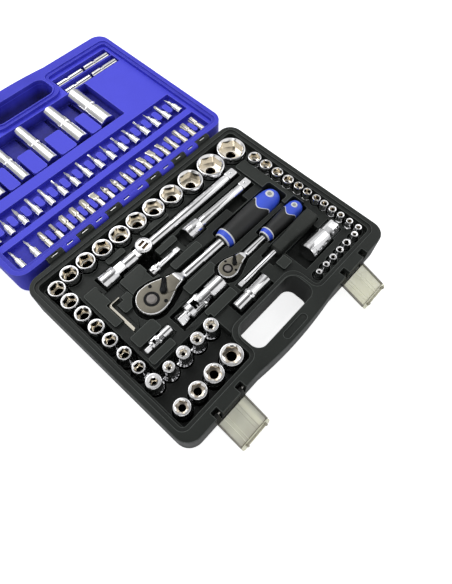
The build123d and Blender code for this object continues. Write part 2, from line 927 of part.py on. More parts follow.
with BuildPart() as lid_shell:
    with BuildSketch() as lid_block:
        with Locations((0, across(LID, case_depth / 2))):
            RectangleRounded(case_width, case_depth, case_corner)
    extrude(amount=half_height)
    fillet(lid_shell.edges().group_by(Axis.Z)[0], base_round)
    extrude(bow_plan(LID), amount=half_height - base_round)
    extrude(tray_plan(LID, ledge_width, ledge_z), amount=ledge_drop, mode=Mode.SUBTRACT)
    extrude(tray_plan(LID, 0.0, lid_land), amount=lid_land_drop, mode=Mode.SUBTRACT)
    # rows of bits and bit sockets
    bit_rows = plates(
        Plane.XY.offset(rest_floor),
        [
            lid_band(-tray_right, rim_back + 0.8, tray_right - 6.0, row_one_end),
            lid_band(-tray_right, row_two_start, tray_right - 6.0, row_two_end),
        ],
    )
    extrude(in_tray(LID, rest_floor, bit_rows), amount=half_height, mode=Mode.SUBTRACT)
    bit_middle = bit_start + bit_length / 2
    lump_low = bit_middle - bit_tongue_length / 2
    lump_high = bit_middle + bit_tongue_length / 2
    lumps = rounded(rest_floor, tongues(bit_places, bit_tongue, lump_low, lump_high), bit_tongue * 0.48)
    extrude(lumps, amount=lid_land - rest_floor)
    socket_middle = (row_two_start + row_two_end) / 2
    lump_low = socket_middle - bit_tongue_length / 2
    lump_high = socket_middle + bit_tongue_length / 2
    lumps = rounded(
        rest_floor, tongues(bit_socket_places, bit_socket_tongue, lump_low, lump_high), bit_socket_tongue * 0.4
    )
    extrude(lumps, amount=lid_land - rest_floor)
    # row of deep sockets: a trough with blocks between the mouths, and a channel under each socket
    first_x, first_body = deep_sockets_list[0][0], deep_sockets_list[0][1]
    last_x, last_body = deep_sockets_list[-1][0], deep_sockets_list[-1][1]
    deep_trough = plates(
        Plane.XY.offset(deep_trough_floor),
        [lid_band(first_x - first_body, row_three_start, last_x + last_body, row_three_end)],
    )
    extrude(deep_trough, amount=half_height, mode=Mode.SUBTRACT)
    blocks = []
    for (x_a, body_a, size_a), (x_b, body_b, size_b) in zip(deep_sockets_list, deep_sockets_list[1:]):
        blocks.append(
            lid_band(
                x_a + body_a / 2 + block_play,
                row_three_start + block_play,
                x_b - body_b / 2 - block_play,
                row_three_start + block_length,
            )
        )
    extrude(rounded(deep_trough_floor, blocks, 4.0), amount=lid_land - deep_trough_floor)
    for x, body, size in deep_sockets_list:
        channel = plates(
            Plane.XY.offset(deep_axis_z - body / 2 - seat_play),
            [lid_band(x - body / 2 - 1.0, deep_start - 1.5, x + body / 2 + 1.0, deep_start + deep_length + 1.5)],
        )
        extrude(channel, amount=half_height, mode=Mode.SUBTRACT)
    # front corners
    widest = max(body for size, body in small_deep_list)
    corner_pockets = []
    for depth in small_deep_depths:
        for hand in (-1, 1):
            near = front_x + hand * (small_deep_in - 1.5)
            far = front_x + hand * (small_deep_in + small_deep_step + small_deep_length + 1.5)
            corner_pockets.append(
                lid_band(min(near, far), depth - widest / 2 - 1.0, max(near, far), depth + widest / 2 + 1.0)
            )
    pockets = plates(Plane.XY.offset(small_deep_floor), corner_pockets)
    extrude(in_tray(LID, small_deep_floor, pockets), amount=half_height, mode=Mode.SUBTRACT)
    # handle, catches and hinge
    extrude(gap_plan(LID), amount=half_height, mode=Mode.SUBTRACT)
    for place in latch_places:
        catch = plates(
            Plane.XY.offset(2 * hinge_z - latch_pivot_z - latch_reach - catch_play),
            [lid_band(place - catch_width / 2, case_depth - catch_depth, place + catch_width / 2, case_depth + 1.0)],
        )
        extrude(catch, amount=latch_lip + 2 * catch_play, mode=Mode.SUBTRACT)
    add_knuckles(LID, lid_knuckles)
lid_shell.part.label = "lid_shell"
export_step(lid_shell.part, "parts/lid_shell.step")


# ---- Ratchets ----
fall_ratio = 0.56
journal_ratio = 0.78
pawl_ratio = 0.42
tooth_ratio = 0.9
lever_turn = 40.0
lever_tip_ratio = 0.62
lever_rest = 0.2
button_rise = 0.9
button_thick = 3.0
stem_depth = 6.0


def cover_plan(r, z, grow):
    """Outline of the cover plate, grown for its recess."""
    with BuildSketch(r.lie.offset(z)) as plan:
        Circle(r.head - cover_inset + grow)
        with Locations((r.shoulder_x, 0)):
            Circle(r.shoulder - cover_inset + grow)
        make_hull()
    return plan.sketch


def pawl_plan(r, z, grow):
    """Outline of the pawl behind the gear, grown for its chamber."""
    near = r.gear * 0.6
    far = r.shoulder_x + r.shoulder - 2 * cover_inset - 2.0
    half = r.gear * pawl_ratio
    with BuildSketch(r.lie.offset(z)) as plan:
        with Locations(((near + far) / 2, 0)):
            Rectangle(far - near + 2 * grow, 2 * half + 2 * grow)
    return plan.sketch


def ratchet_head(r):
    """Pear shaped head with its shank and the tang that carries the grip."""
    cover_floor = r.cover_top - cover_thick
    gear_floor = r.head_bottom + shell_wall
    with BuildPart() as head:
        with BuildSketch(r.lie.offset(r.head_bottom)) as plan:
            Circle(r.head)
            with Locations((r.shoulder_x, 0)):
                Circle(r.shoulder)
            with Locations((r.neck_x, 0)):
                Circle(r.shank / 2)
            make_hull()
        extrude(amount=r.cover_top - r.head_bottom)
        with BuildSketch(r.side()) as profile:
            with BuildLine():
                Polyline(
                    (-r.head - 1.0, r.head_bottom - r.axis_z),
                    (r.neck_x * fall_ratio, r.head_bottom - r.axis_z),
                    (r.neck_x + r.shank / 2, -r.shank / 2),
                    (r.neck_x + r.shank / 2, r.shank / 2),
                    (r.neck_x * fall_ratio, r.cover_top - r.axis_z),
                    (-r.head - 1.0, r.cover_top - r.axis_z),
                    close=True,
                )
            make_face()
        extrude(profile.sketch, amount=r.head + 1.0, both=True, mode=Mode.INTERSECT)
        extrude(disc_on(r.across_handle(r.neck_x), r.shank), amount=r.grip_start - r.neck_x)
        tang = disc_on(r.across_handle(r.neck_x), r.shank * tang_ratio)
        extrude(tang, amount=r.end_x - r.cap_length / 2 - r.neck_x)
        extrude(cover_plan(r, cover_floor, fit_play), amount=cover_thick + 1.0, mode=Mode.SUBTRACT)
        gear_room = disc_on(r.lie.offset(gear_floor), 2 * (r.gear + gear_play))
        extrude(gear_room, amount=cover_floor - gear_floor, mode=Mode.SUBTRACT)
        extrude(pawl_plan(r, gear_floor, gear_play), amount=cover_floor - gear_floor, mode=Mode.SUBTRACT)
        journal_hole = disc_on(r.lie.offset(r.head_bottom), 2 * (r.drive * journal_ratio + journal_play))
        extrude(journal_hole, amount=shell_wall, mode=Mode.SUBTRACT)
        for y in (-r.screw_y, r.screw_y):
            thread = disc_on(r.lie.offset(cover_floor - 5.0), r.screw + 2 * fit_play, (r.screw_x, y))
            extrude(thread, amount=5.0, mode=Mode.SUBTRACT)
    return head


def ratchet_cover(r):
    """Plate that closes the head, with holes for the gear's ring, the lever's stem and the screws."""
    floor = r.cover_top - cover_thick
    with BuildPart() as cover:
        extrude(cover_plan(r, floor, 0.0), amount=cover_thick)
        holes = disc_on(r.lie.offset(floor), 2 * r.ring)
        extrude(holes, amount=cover_thick, mode=Mode.SUBTRACT)
        stem_hole = disc_on(
            r.lie.offset(floor), 2 * (lever_stem + journal_play), (r.lever_x, r.lever_y)
        )
        extrude(stem_hole, amount=cover_thick, mode=Mode.SUBTRACT)
        for y in (-r.screw_y, r.screw_y):
            through = disc_on(r.lie.offset(floor), r.screw + 2 * fit_play, (r.screw_x, y))
            extrude(through, amount=cover_thick, mode=Mode.SUBTRACT)
            sunk = disc_on(
                r.lie.offset(r.cover_top - cover_thick / 2), 2 * (r.screw + fit_play), (r.screw_x, y)
            )
            extrude(sunk, amount=cover_thick, mode=Mode.SUBTRACT)
    return cover


def ratchet_screws(r):
    """The two countersunk screws of the cover plate."""
    with BuildPart() as screws:
        for y in (-r.screw_y, r.screw_y):
            shank = disc_on(r.lie.offset(r.cover_top - cover_thick - 4.5), r.screw, (r.screw_x, y))
            extrude(shank, amount=4.5 + cover_thick / 2 + fit_play)
            cap = disc_on(r.lie.offset(r.cover_top - cover_thick / 2 + fit_play), 2 * r.screw, (r.screw_x, y))
            extrude(cap, amount=cover_thick / 2 - fit_play)
            slot = disc_on(r.lie.offset(r.cover_top - 0.7), r.screw * 0.8, (r.screw_x, y))
            extrude(slot, amount=1.0, mode=Mode.SUBTRACT)
    return screws


def ratchet_pawl(r):
    """Pawl behind the gear, hollowed to the gear's tips."""
    floor = r.head_bottom + shell_wall + seat_play / 2
    tall = r.cover_top - cover_thick - seat_play / 2 - floor
    with BuildPart() as pawl:
        extrude(pawl_plan(r, floor, 0.0), amount=tall)
        extrude(disc_on(r.lie.offset(floor), 2 * (r.gear + gear_play)), amount=tall, mode=Mode.SUBTRACT)
        pit = disc_on(
            r.lie.offset(floor + tall - lever_stem), 2 * (lever_stem + seat_play), (r.lever_x, r.lever_y)
        )
        extrude(pit, amount=lever_stem, mode=Mode.SUBTRACT)
    return pawl


def ratchet_gear(r):
    """Toothed wheel with its ring above, its journal and square drive below, and a bore for the button."""
    floor = r.head_bottom + shell_wall + seat_play
    roof = r.cover_top - cover_thick - seat_play
    step = 360.0 / (2 * r.teeth)
    tips = [(r.gear if k % 2 == 0 else r.gear * tooth_ratio, radians(k * step)) for k in range(2 * r.teeth)]
    with BuildPart() as gear:
        with BuildSketch(r.lie.offset(floor)) as wheel:
            with BuildLine():
                Polyline([(reach * cos(a), reach * sin(a)) for reach, a in tips], close=True)
            make_face()
        extrude(amount=roof - floor)
        extrude(disc_on(r.lie.offset(floor), 2 * (r.ring - journal_play)), amount=r.cover_top + 0.3 - floor)
        journal = disc_on(r.lie.offset(r.head_bottom - 0.5), 2 * r.drive * journal_ratio)
        extrude(journal, amount=floor - r.head_bottom + 0.5)
        half = r.drive / 2
        square = plates(r.lie.offset(r.head_bottom - r.drive_length), [(-half, -half, half, half)])
        extrude(square, amount=r.drive_length)
        bore_floor = r.cover_top + button_rise - button_thick - button_travel - seat_play
        button_bore = disc_on(r.lie.offset(bore_floor), 2 * (r.button + journal_play))
        extrude(button_bore, amount=r.cover_top + 1.0 - bore_floor, mode=Mode.SUBTRACT)
        stem_bore = disc_on(r.lie.offset(bore_floor - stem_depth), 2 * (button_stem + journal_play))
        extrude(stem_bore, amount=stem_depth, mode=Mode.SUBTRACT)
    return gear


def ratchet_button(r):
    """Release button in the middle of the gear, with its stem."""
    low = r.cover_top + button_rise - button_thick
    with BuildPart() as button:
        extrude(disc_on(r.lie.offset(low), 2 * r.button), amount=button_thick)
        extrude(disc_on(r.lie.offset(low - stem_depth), 2 * button_stem), amount=stem_depth)
    return button


def ratchet_lever(r):
    """Reversing lever on the cover plate, with its stem."""
    low = r.cover_top + lever_rest
    tip = r.lever_hub * lever_tip_ratio
    reach = r.lever_length - tip
    turn = radians(lever_turn)
    with BuildPart() as lever:
        with BuildSketch(r.lie.offset(low)) as plan:
            with Locations((r.lever_x, r.lever_y)):
                Circle(r.lever_hub)
            with Locations((r.lever_x + reach * cos(turn), r.lever_y + reach * sin(turn))):
                Circle(tip)
            make_hull()
        extrude(amount=lever_thick)
        stem = disc_on(
            r.lie.offset(r.cover_top - cover_thick - lever_stem / 2), 2 * lever_stem, (r.lever_x, r.lever_y)
        )
        extrude(stem, amount=cover_thick + lever_stem / 2 + lever_rest)
    return lever


def handle_turned(r, outline):
    """A solid turned about the handle's axis; the outline is points of (along, radius)."""
    a = radians(r.turn)
    middle = r.lie.from_local_coords((0, 0, r.axis_z))
    with BuildPart() as turned:
        with BuildSketch(r.side()) as profile:
            with BuildLine():
                Polyline(outline, close=True)
            make_face()
        revolve(profile.sketch, axis=Axis((middle.X, middle.Y, middle.Z), (cos(a), sin(a), 0)))
    return turned


def ratchet_collar(r):
    """Ring between the shank and the grip, stepped down to both."""
    bore = r.shank * tang_ratio / 2 + fit_play
    x0 = r.grip_start + fit_play
    x1 = r.grip_start + r.collar_length
    outline = [
        (x0, bore),
        (x0, r.collar * 0.8),
        (x0 + 1.6, r.collar * 0.94),
        (x0 + r.collar_length * 0.4, r.collar),
        (x1, r.collar * 0.95),
        (x1, bore),
    ]
    return handle_turned(r, outline)


def ratchet_grip(r):
    """Rubber grip with a waist behind the collar and a swelling for the palm."""
    bore = r.shank * tang_ratio / 2 + fit_play
    x0 = r.grip_start + r.collar_length + fit_play
    x1 = r.end_x - r.cap_length - fit_play
    long = x1 - x0
    outline = [
        (x0, bore),
        (x0, r.collar * 0.93),
        (x0 + long * 0.16, r.grip_waist),
        (x0 + long * 0.56, r.grip),
        (x1, r.grip * 0.95),
        (x1, bore),
    ]
    return handle_turned(r, outline)


def ratchet_cap(r):
    """Rounded end cap with a shallow round seat on top."""
    bore = r.shank * tang_ratio / 2 + fit_play
    x0 = r.end_x - r.cap_length
    x1 = r.end_x
    long = x1 - x0
    mouth = x0 + r.cap_length / 2 + seat_play
    outline = [
        (x0, bore),
        (x0, r.grip * 0.95),
        (x0 + long * 0.35, r.grip * 0.98),
        (x0 + long * 0.66, r.grip * 0.95),
        (x0 + long * 0.86, r.grip * 0.78),
        (x1, r.grip * 0.4),
        (x1, 0.0),
        (mouth, 0.0),
        (mouth, bore),
    ]
    cap = handle_turned(r, outline)
    with BuildPart() as capped:
        add(cap.part)
        seat = disc_on(r.lie.offset(r.axis_z + r.grip * 0.88), 2 * r.eye, (r.eye_x, 0))
        extrude(seat, amount=r.grip, mode=Mode.SUBTRACT)
    return capped


makers = {
    "head": ratchet_head,
    "cover": ratchet_cover,
    "screws": ratchet_screws,
    "pawl": ratchet_pawl,
    "gear": ratchet_gear,
    "button": ratchet_button,
    "lever": ratchet_lever,
    "collar": ratchet_collar,
    "grip": ratchet_grip,
    "cap": ratchet_cap,
}
for ratchet in (big, small):
    for piece, maker in makers.items():
        made = maker(ratchet)
        made.part.label = f"{ratchet.name}_{piece}"
        export_step(made.part, f"parts/{ratchet.name}_{piece}.step")


# ---- Bars ----
def add_bar(x, y, z, length, shank, body, end, drive, drive_depth):
    """An extension bar along X: a socket end on the left, a round shank and a square drive on the right."""
    extrude(disc_on(along_x(x, y, z), body), amount=end)
    extrude(disc_on(along_x(x + end, y, z), shank), amount=length - end - drive_depth)
    half = drive / 2
    square = plates(along_x(x + length - drive_depth, y, z), [(-half, -half, half, half)])
    extrude(square, amount=drive_depth)
    hole = half + bore_play / 2
    extrude(plates(along_x(x, y, z), [(-hole, -hole, hole, hole)]), amount=drive_depth, mode=Mode.SUBTRACT)


with BuildPart() as long_extension:
    add_bar(long_x, long_y, half_axis_z, long_length, bar_shank, half_body, socket_end, half_drive, half_drive_depth)
    flat = bar_shank / 2 - 0.2
    neck = plates(along_x(long_x + socket_end, long_y, half_axis_z), [(-flat, -flat, flat, flat)])
    extrude(neck, amount=collar_start - socket_end)
    collar = disc_on(along_x(long_x + collar_start, long_y, half_axis_z), collar_body)
    extrude(collar, amount=collar_length)
long_extension.part.label = "long_extension"
export_step(long_extension.part, "parts/long_extension.step")

with BuildPart() as sliding_head:
    extrude(discs([(head_x, long_y, head_body)], head_bottom), amount=head_top - head_bottom)
    half = half_drive / 2
    square = plates(
        Plane.XY.offset(head_bottom - half_drive_depth),
        [(head_x - half, long_y - half, head_x + half, long_y + half)],
    )
    extrude(square, amount=half_drive_depth)
    well = discs([(head_x, long_y, head_body - 2 * shell_wall)], half_axis_z)
    extrude(well, amount=head_top, mode=Mode.SUBTRACT)
    cross_bore = disc_on(
        along_x(head_x - head_body, long_y, half_axis_z), bar_shank + 2 * journal_play
    )
    extrude(cross_bore, amount=2 * head_body, mode=Mode.SUBTRACT)
sliding_head.part.label = "sliding_head"
export_step(sliding_head.part, "parts/sliding_head.step")

with BuildPart() as short_extension:
    add_bar(
        short_x, short_y, half_axis_z, short_length, bar_shank, half_body, socket_end, half_drive, half_drive_depth
    )
short_extension.part.label = "short_extension"
export_step(short_extension.part, "parts/short_extension.step")

with BuildPart() as small_extension:
    add_bar(
        small_bar_x,
        small_bar_y,
        small_axis_z,
        small_bar_length,
        small_shank,
        quarter_body,
        quarter_height / 2,
        quarter_drive,
        quarter_drive_depth,
    )
small_extension.part.label = "small_extension"
export_step(small_extension.part, "parts/small_extension.step")


# ---- Universal joints ----
@dataclass
class Joint:
    """A universal joint along X: drive yoke on the left, cross, socket yoke on the right."""

    name: str
    x: float
    y: float
    z: float
    length: float
    body: float
    drive: float
    drive_depth: float

    @property
    def centre(self):
        """X of the cross."""
        return self.x + self.length * 0.5

    @property
    def ear_inner(self):
        """Distance from the axis to an ear's inner face."""
        return self.body * 0.26

    @property
    def ear_outer(self):
        """Distance from the axis to an ear's outer face."""
        return self.body * 0.43

    @property
    def ear_half(self):
        """Half the width of an ear."""
        return self.body * 0.245

    @property
    def set_back(self):
        """Distance from the cross to the solid end of a yoke."""
        return self.body * 0.68

    @property
    def trunnion(self):
        """Radius of the cross's pins."""
        return self.body * 0.12


def yoke_ears(j, sign, upright):
    """Two ears that reach from one yoke to the cross; upright ears stand above and below."""
    for hand in (-1, 1):
        inner = j.ear_inner
        thick = j.ear_outer - j.ear_inner
        if upright:
            face = Plane(origin=(j.centre, j.y, j.z + hand * inner), x_dir=(1, 0, 0), z_dir=(0, 0, hand))
        else:
            face = Plane(origin=(j.centre, j.y + hand * inner, j.z), x_dir=(1, 0, 0), z_dir=(0, hand, 0))
        with BuildSketch(face) as ear:
            Circle(j.ear_half)
            with Locations((sign * (j.set_back + 0.5) / 2, 0)):
                Rectangle(j.set_back + 0.5, 2 * j.ear_half)
        extrude(ear.sketch, amount=thick)
        bore = disc_on(face, 2 * (j.trunnion + journal_play))
        extrude(bore, amount=thick, mode=Mode.SUBTRACT)


def joint_drive(j):
    """Drive yoke: a square, a round body and two ears at the sides."""
    half = j.drive / 2
    body_end = j.centre - j.set_back
    with BuildPart() as yoke:
        square = plates(along_x(j.x, j.y, j.z), [(-half, -half, half, half)])
        extrude(square, amount=j.drive_depth)
        extrude(disc_on(along_x(j.x + j.drive_depth, j.y, j.z), j.body), amount=body_end - j.x - j.drive_depth)
        yoke_ears(j, -1, False)
    return yoke


def joint_cross(j):
    """The cross: a block with two pins sideways and two upright."""
    block = j.ear_inner - 0.3
    with BuildPart() as cross:
        square = plates(
            Plane.XY.offset(j.z - block), [(j.centre - block, j.y - block, j.centre + block, j.y + block)]
        )
        extrude(square, amount=2 * block)
        extrude(disc_on(along_y(j.centre, j.y - j.ear_outer, j.z), 2 * j.trunnion), amount=2 * j.ear_outer)
        upright = disc_on(Plane.XY.offset(j.z - j.ear_outer), 2 * j.trunnion, (j.centre, j.y))
        extrude(upright, amount=2 * j.ear_outer)
    return cross


def joint_socket(j):
    """Socket yoke: two upright ears and a round body with a square hole."""
    hole = (j.drive + bore_play) / 2
    body_start = j.centre + j.set_back
    end = j.x + j.length
    with BuildPart() as yoke:
        extrude(disc_on(along_x(body_start, j.y, j.z), j.body), amount=end - body_start)
        yoke_ears(j, 1, True)
        deep = min(j.drive_depth + 1.0, end - body_start - 2.0)
        square = plates(along_x(end - deep, j.y, j.z), [(-hole, -hole, hole, hole)])
        extrude(square, amount=deep, mode=Mode.SUBTRACT)
    return yoke


big_joint = Joint("big_joint", joint_x, joint_y, half_axis_z, joint_length, half_body, half_drive, 13.5)
small_joint = Joint(
    "small_joint",
    small_joint_x,
    small_joint_y,
    small_axis_z,
    small_joint_length,
    quarter_body,
    quarter_drive,
    8.0,
)
for joint in (big_joint, small_joint):
    for piece, maker in {"drive": joint_drive, "cross": joint_cross, "socket": joint_socket}.items():
        made = maker(joint)
        made.part.label = f"{joint.name}_{piece}"
        export_step(made.part, f"parts/{joint.name}_{piece}.step")

# ---- Plug sockets with their rubber sleeves ----
plug_small_hex = 12.6
plug_large_hex = 21.0
sleeve_depth = 8.0
sleeve_length = 12.0
sleeve_wall = 2.2
plug_band = (22.0, 38.0)

with BuildPart() as plug_socket_small:
    extrude(disc_on(along_x(plug_small_x, plug_small_y, plug_small_z), plug_small_body), amount=plug_small_length)
    band = disc_on(along_x(plug_small_x + plug_band[0], plug_small_y, plug_small_z), plug_small_collar)
    extrude(band, amount=plug_band[1] - plug_band[0])
    mouth = polygon_on(along_x(plug_small_x, plug_small_y, plug_small_z), plug_small_hex, 6)
    extrude(mouth, amount=plug_small_length - 2 * quarter_drive_depth, mode=Mode.SUBTRACT)
    hole = (quarter_drive + bore_play) / 2
    drive_plane = along_x(plug_small_x + plug_small_length - quarter_drive_depth, plug_small_y, plug_small_z)
    extrude(plates(drive_plane, [(-hole, -hole, hole, hole)]), amount=quarter_drive_depth, mode=Mode.SUBTRACT)
plug_socket_small.part.label = "plug_socket_small"
export_step(plug_socket_small.part, "parts/plug_socket_small.step")

with BuildPart() as plug_insert_small:
    sleeve = along_x(plug_small_x + sleeve_depth, plug_small_y, plug_small_z)
    extrude(disc_on(sleeve, plug_small_hex - 2 * fit_play), amount=sleeve_length)
    extrude(disc_on(sleeve, plug_small_hex - 2 * sleeve_wall), amount=sleeve_length, mode=Mode.SUBTRACT)
plug_insert_small.part.label = "plug_insert_small"
export_step(plug_insert_small.part, "parts/plug_insert_small.step")

with BuildPart() as plug_socket_large:
    barrel = plug_large_length - plug_hex_end
    extrude(disc_on(along_x(plug_large_x, plug_large_y, plug_large_z), plug_large_body), amount=barrel)
    hex_plane = along_x(plug_large_x + barrel, plug_large_y, plug_large_z)
    extrude(polygon_on(hex_plane, plug_hex_end, 6, 30.0), amount=plug_hex_end)
    mouth = polygon_on(along_x(plug_large_x, plug_large_y, plug_large_z), plug_large_hex, 6)
    extrude(mouth, amount=barrel - 1.0, mode=Mode.SUBTRACT)
    hole = (half_drive + bore_play) / 2
    drive_plane = along_x(plug_large_x + plug_large_length - half_drive_depth, plug_large_y, plug_large_z)
    extrude(plates(drive_plane, [(-hole, -hole, hole, hole)]), amount=half_drive_depth, mode=Mode.SUBTRACT)
plug_socket_large.part.label = "plug_socket_large"
export_step(plug_socket_large.part, "parts/plug_socket_large.step")

with BuildPart() as plug_insert_large:
    sleeve = along_x(plug_large_x + sleeve_depth, plug_large_y, plug_large_z)
    extrude(disc_on(sleeve, plug_large_hex - 2 * fit_play), amount=sleeve_length)
    extrude(disc_on(sleeve, plug_large_hex - 3 * sleeve_wall), amount=sleeve_length, mode=Mode.SUBTRACT)
plug_insert_large.part.label = "plug_insert_large"
export_step(plug_insert_large.part, "parts/plug_insert_large.step")

# ---- Spinner handle ----
spinner_tang = 20.0
spinner_long = spinner_rear_x - spinner_face_x
with BuildPart() as spinner_shaft:
    half = quarter_drive / 2
    tip_plane = along_x(spinner_tip_x, spinner_y, spinner_z)
    extrude(plates(tip_plane, [(-half, -half, half, half)]), amount=quarter_drive_depth)
    shaft_plane = along_x(spinner_tip_x + quarter_drive_depth, spinner_y, spinner_z)
    shaft_long = spinner_face_x + spinner_tang - spinner_tip_x - quarter_drive_depth
    extrude(disc_on(shaft_plane, spinner_shaft_body), amount=shaft_long)
spinner_shaft.part.label = "spinner_shaft"
export_step(spinner_shaft.part, "parts/spinner_shaft.step")

with BuildPart() as spinner_handle:
    with BuildSketch(
        Plane(origin=(spinner_face_x, spinner_y, spinner_z), x_dir=(1, 0, 0), z_dir=(0, -1, 0))
    ) as profile:
        with BuildLine():
            Polyline(
                (0, 0),
                (0, spinner_radius * 0.82),
                (3.0, spinner_radius),
                (14.0, spinner_radius * 0.96),
                (26.0, spinner_waist),
                (42.0, spinner_radius * 0.97),
                (spinner_long - 14.0, spinner_radius),
                (spinner_long - 3.0, spinner_radius * 0.86),
                (spinner_long, spinner_radius * 0.5),
                (spinner_long, 0),
                close=True,
            )
        make_face()
    revolve(profile.sketch, axis=Axis((0, spinner_y, spinner_z), (1, 0, 0)))
    tang_room = disc_on(along_x(spinner_face_x, spinner_y, spinner_z), spinner_shaft_body + 2 * fit_play)
    extrude(tang_room, amount=spinner_tang + seat_play, mode=Mode.SUBTRACT)
spinner_handle.part.label = "spinner_handle"
export_step(spinner_handle.part, "parts/spinner_handle.step")

# ---- Hex keys ----
with BuildPart() as hex_keys:
    inward = 0.0
    for index, flats in enumerate(key_sizes):
        if index:
            inward += (key_sizes[index - 1] + flats) / 2 * 1.16 + key_gap
        key_z = key_floor + seat_play + flats / 2
        corner_x = key_x + inward
        corner_y = key_y - inward
        end_x = key_x + key_short
        with BuildLine() as bend:
            FilletPolyline(
                (end_x, corner_y, key_z),
                (corner_x, corner_y, key_z),
                (corner_x, key_y - key_long, key_z),
                radius=key_bend,
            )
        section = polygon_on(Plane(origin=(end_x, corner_y, key_z), x_dir=(0, 1, 0), z_dir=(-1, 0, 0)), flats, 6)
        sweep(section, path=bend.line)
hex_keys.part.label = "hex_keys"
export_step(hex_keys.part, "parts/hex_keys.step")


# ---- Standing sockets ----
def add_sockets(places, top, height, foot, nose, drive, drive_depth, grip_depth, star):
    """Sockets that stand on their drive ends; those slimmer than the foot step out to it below the nose."""
    low = top - height
    full = [(x, y, body) for x, y, body, size in places if body >= foot]
    slim = [(x, y, body) for x, y, body, size in places if body < foot]
    if full:
        extrude(discs(full, low), amount=height)
    if slim:
        extrude(discs([(x, y, foot) for x, y, body in slim], low), amount=height - nose)
        extrude(discs(slim, low), amount=height)
    if star:
        extrude(
            stars([(x, y, size) for x, y, body, size in places], Plane.XY.offset(top - grip_depth)),
            amount=grip_depth,
            mode=Mode.SUBTRACT,
        )
    else:
        mouths = prisms([(x, y, size + bore_play) for x, y, body, size in places], top - grip_depth, 6)
        extrude(mouths, amount=grip_depth, mode=Mode.SUBTRACT)
    half = (drive + bore_play) / 2
    squares = plates(Plane.XY.offset(low), [(x - half, y - half, x + half, y + half) for x, y, body, size in places])
    extrude(squares, amount=drive_depth, mode=Mode.SUBTRACT)
    if height > grip_depth + drive_depth:
        through = [(x, y, min(drive * 0.86, size * 0.86)) for x, y, body, size in places]
        extrude(
            discs(through, low + drive_depth), amount=height - grip_depth - drive_depth, mode=Mode.SUBTRACT
        )


grip_depth = 16.0
quarter_grip_depth = 11.0
with BuildPart() as half_inch_sockets:
    add_sockets(
        row_places + column_places,
        tool_top,
        half_height_socket,
        half_body,
        nose_height,
        half_drive,
        half_drive_depth,
        grip_depth,
        False,
    )
half_inch_sockets.part.label = "half_inch_sockets"
export_step(half_inch_sockets.part, "parts/half_inch_sockets.step")

with BuildPart() as big_sockets:
    add_sockets(
        big_places,
        tool_top,
        big_height_socket,
        half_body,
        nose_height,
        half_drive,
        half_drive_depth,
        grip_depth + 4.0,
        False,
    )
big_sockets.part.label = "big_sockets"
export_step(big_sockets.part, "parts/big_sockets.step")

with BuildPart() as star_sockets:
    add_sockets(
        star_places + star_back_places,
        tool_top,
        half_height_socket,
        half_body,
        nose_height,
        half_drive,
        half_drive_depth,
        grip_depth,
        True,
    )
star_sockets.part.label = "star_sockets"
export_step(star_sockets.part, "parts/star_sockets.step")

with BuildPart() as bit_adaptor:
    adaptor = (adaptor_place[0], adaptor_place[1], adaptor_body, bit_hex)
    add_sockets(
        [adaptor],
        tool_top,
        half_height_socket,
        half_body,
        nose_height,
        half_drive,
        half_drive_depth,
        half_height_socket - half_drive_depth - 2.0,
        False,
    )
bit_adaptor.part.label = "bit_adaptor"
export_step(bit_adaptor.part, "parts/bit_adaptor.step")

with BuildPart() as quarter_inch_sockets:
    add_sockets(
        quarter_places,
        quarter_top,
        quarter_height,
        quarter_body,
        small_nose,
        quarter_drive,
        quarter_drive_depth,
        quarter_grip_depth,
        False,
    )
quarter_inch_sockets.part.label = "quarter_inch_sockets"
export_step(quarter_inch_sockets.part, "parts/quarter_inch_sockets.step")

with BuildPart() as small_star_sockets:
    add_sockets(
        small_star_places,
        quarter_top,
        quarter_height,
        quarter_body,
        small_nose,
        quarter_drive,
        quarter_drive_depth,
        quarter_grip_depth,
        True,
    )
small_star_sockets.part.label = "small_star_sockets"
export_step(small_star_sockets.part, "parts/small_star_sockets.step")

# ---- Sockets and bits that lie in the lid ----
deep_band = (0.42, 0.52)
deep_band_rise = 1.2
deep_grip = 30.0
with BuildPart() as deep_sockets:
    for x, body, size in deep_sockets_list:
        mouth_plane = along_y(x, across(LID, deep_start), deep_axis_z)
        slim = body - 2 * deep_band_rise
        extrude(disc_on(mouth_plane, body), amount=deep_length * deep_band[0])
        extrude(disc_on(mouth_plane, slim), amount=deep_length * deep_band[1])
        rear_plane = along_y(x, across(LID, deep_start + deep_length * deep_band[1]), deep_axis_z)
        extrude(disc_on(rear_plane, body), amount=deep_length * (1 - deep_band[1]))
        extrude(polygon_on(mouth_plane, size + bore_play, 6), amount=deep_grip, mode=Mode.SUBTRACT)
deep_sockets.part.label = "deep_sockets"
export_step(deep_sockets.part, "parts/deep_sockets.step")

with BuildPart() as small_deep_sockets:
    for x, y, body, size in small_deep_places:
        axis_z = small_deep_floor + seat_play + body / 2
        mouth_plane = along_x(x - small_deep_length / 2, y, axis_z)
        extrude(disc_on(mouth_plane, body), amount=small_deep_length)
        extrude(polygon_on(mouth_plane, size + bore_play, 6), amount=quarter_height, mode=Mode.SUBTRACT)
small_deep_sockets.part.label = "small_deep_sockets"
export_step(small_deep_sockets.part, "parts/small_deep_sockets.step")

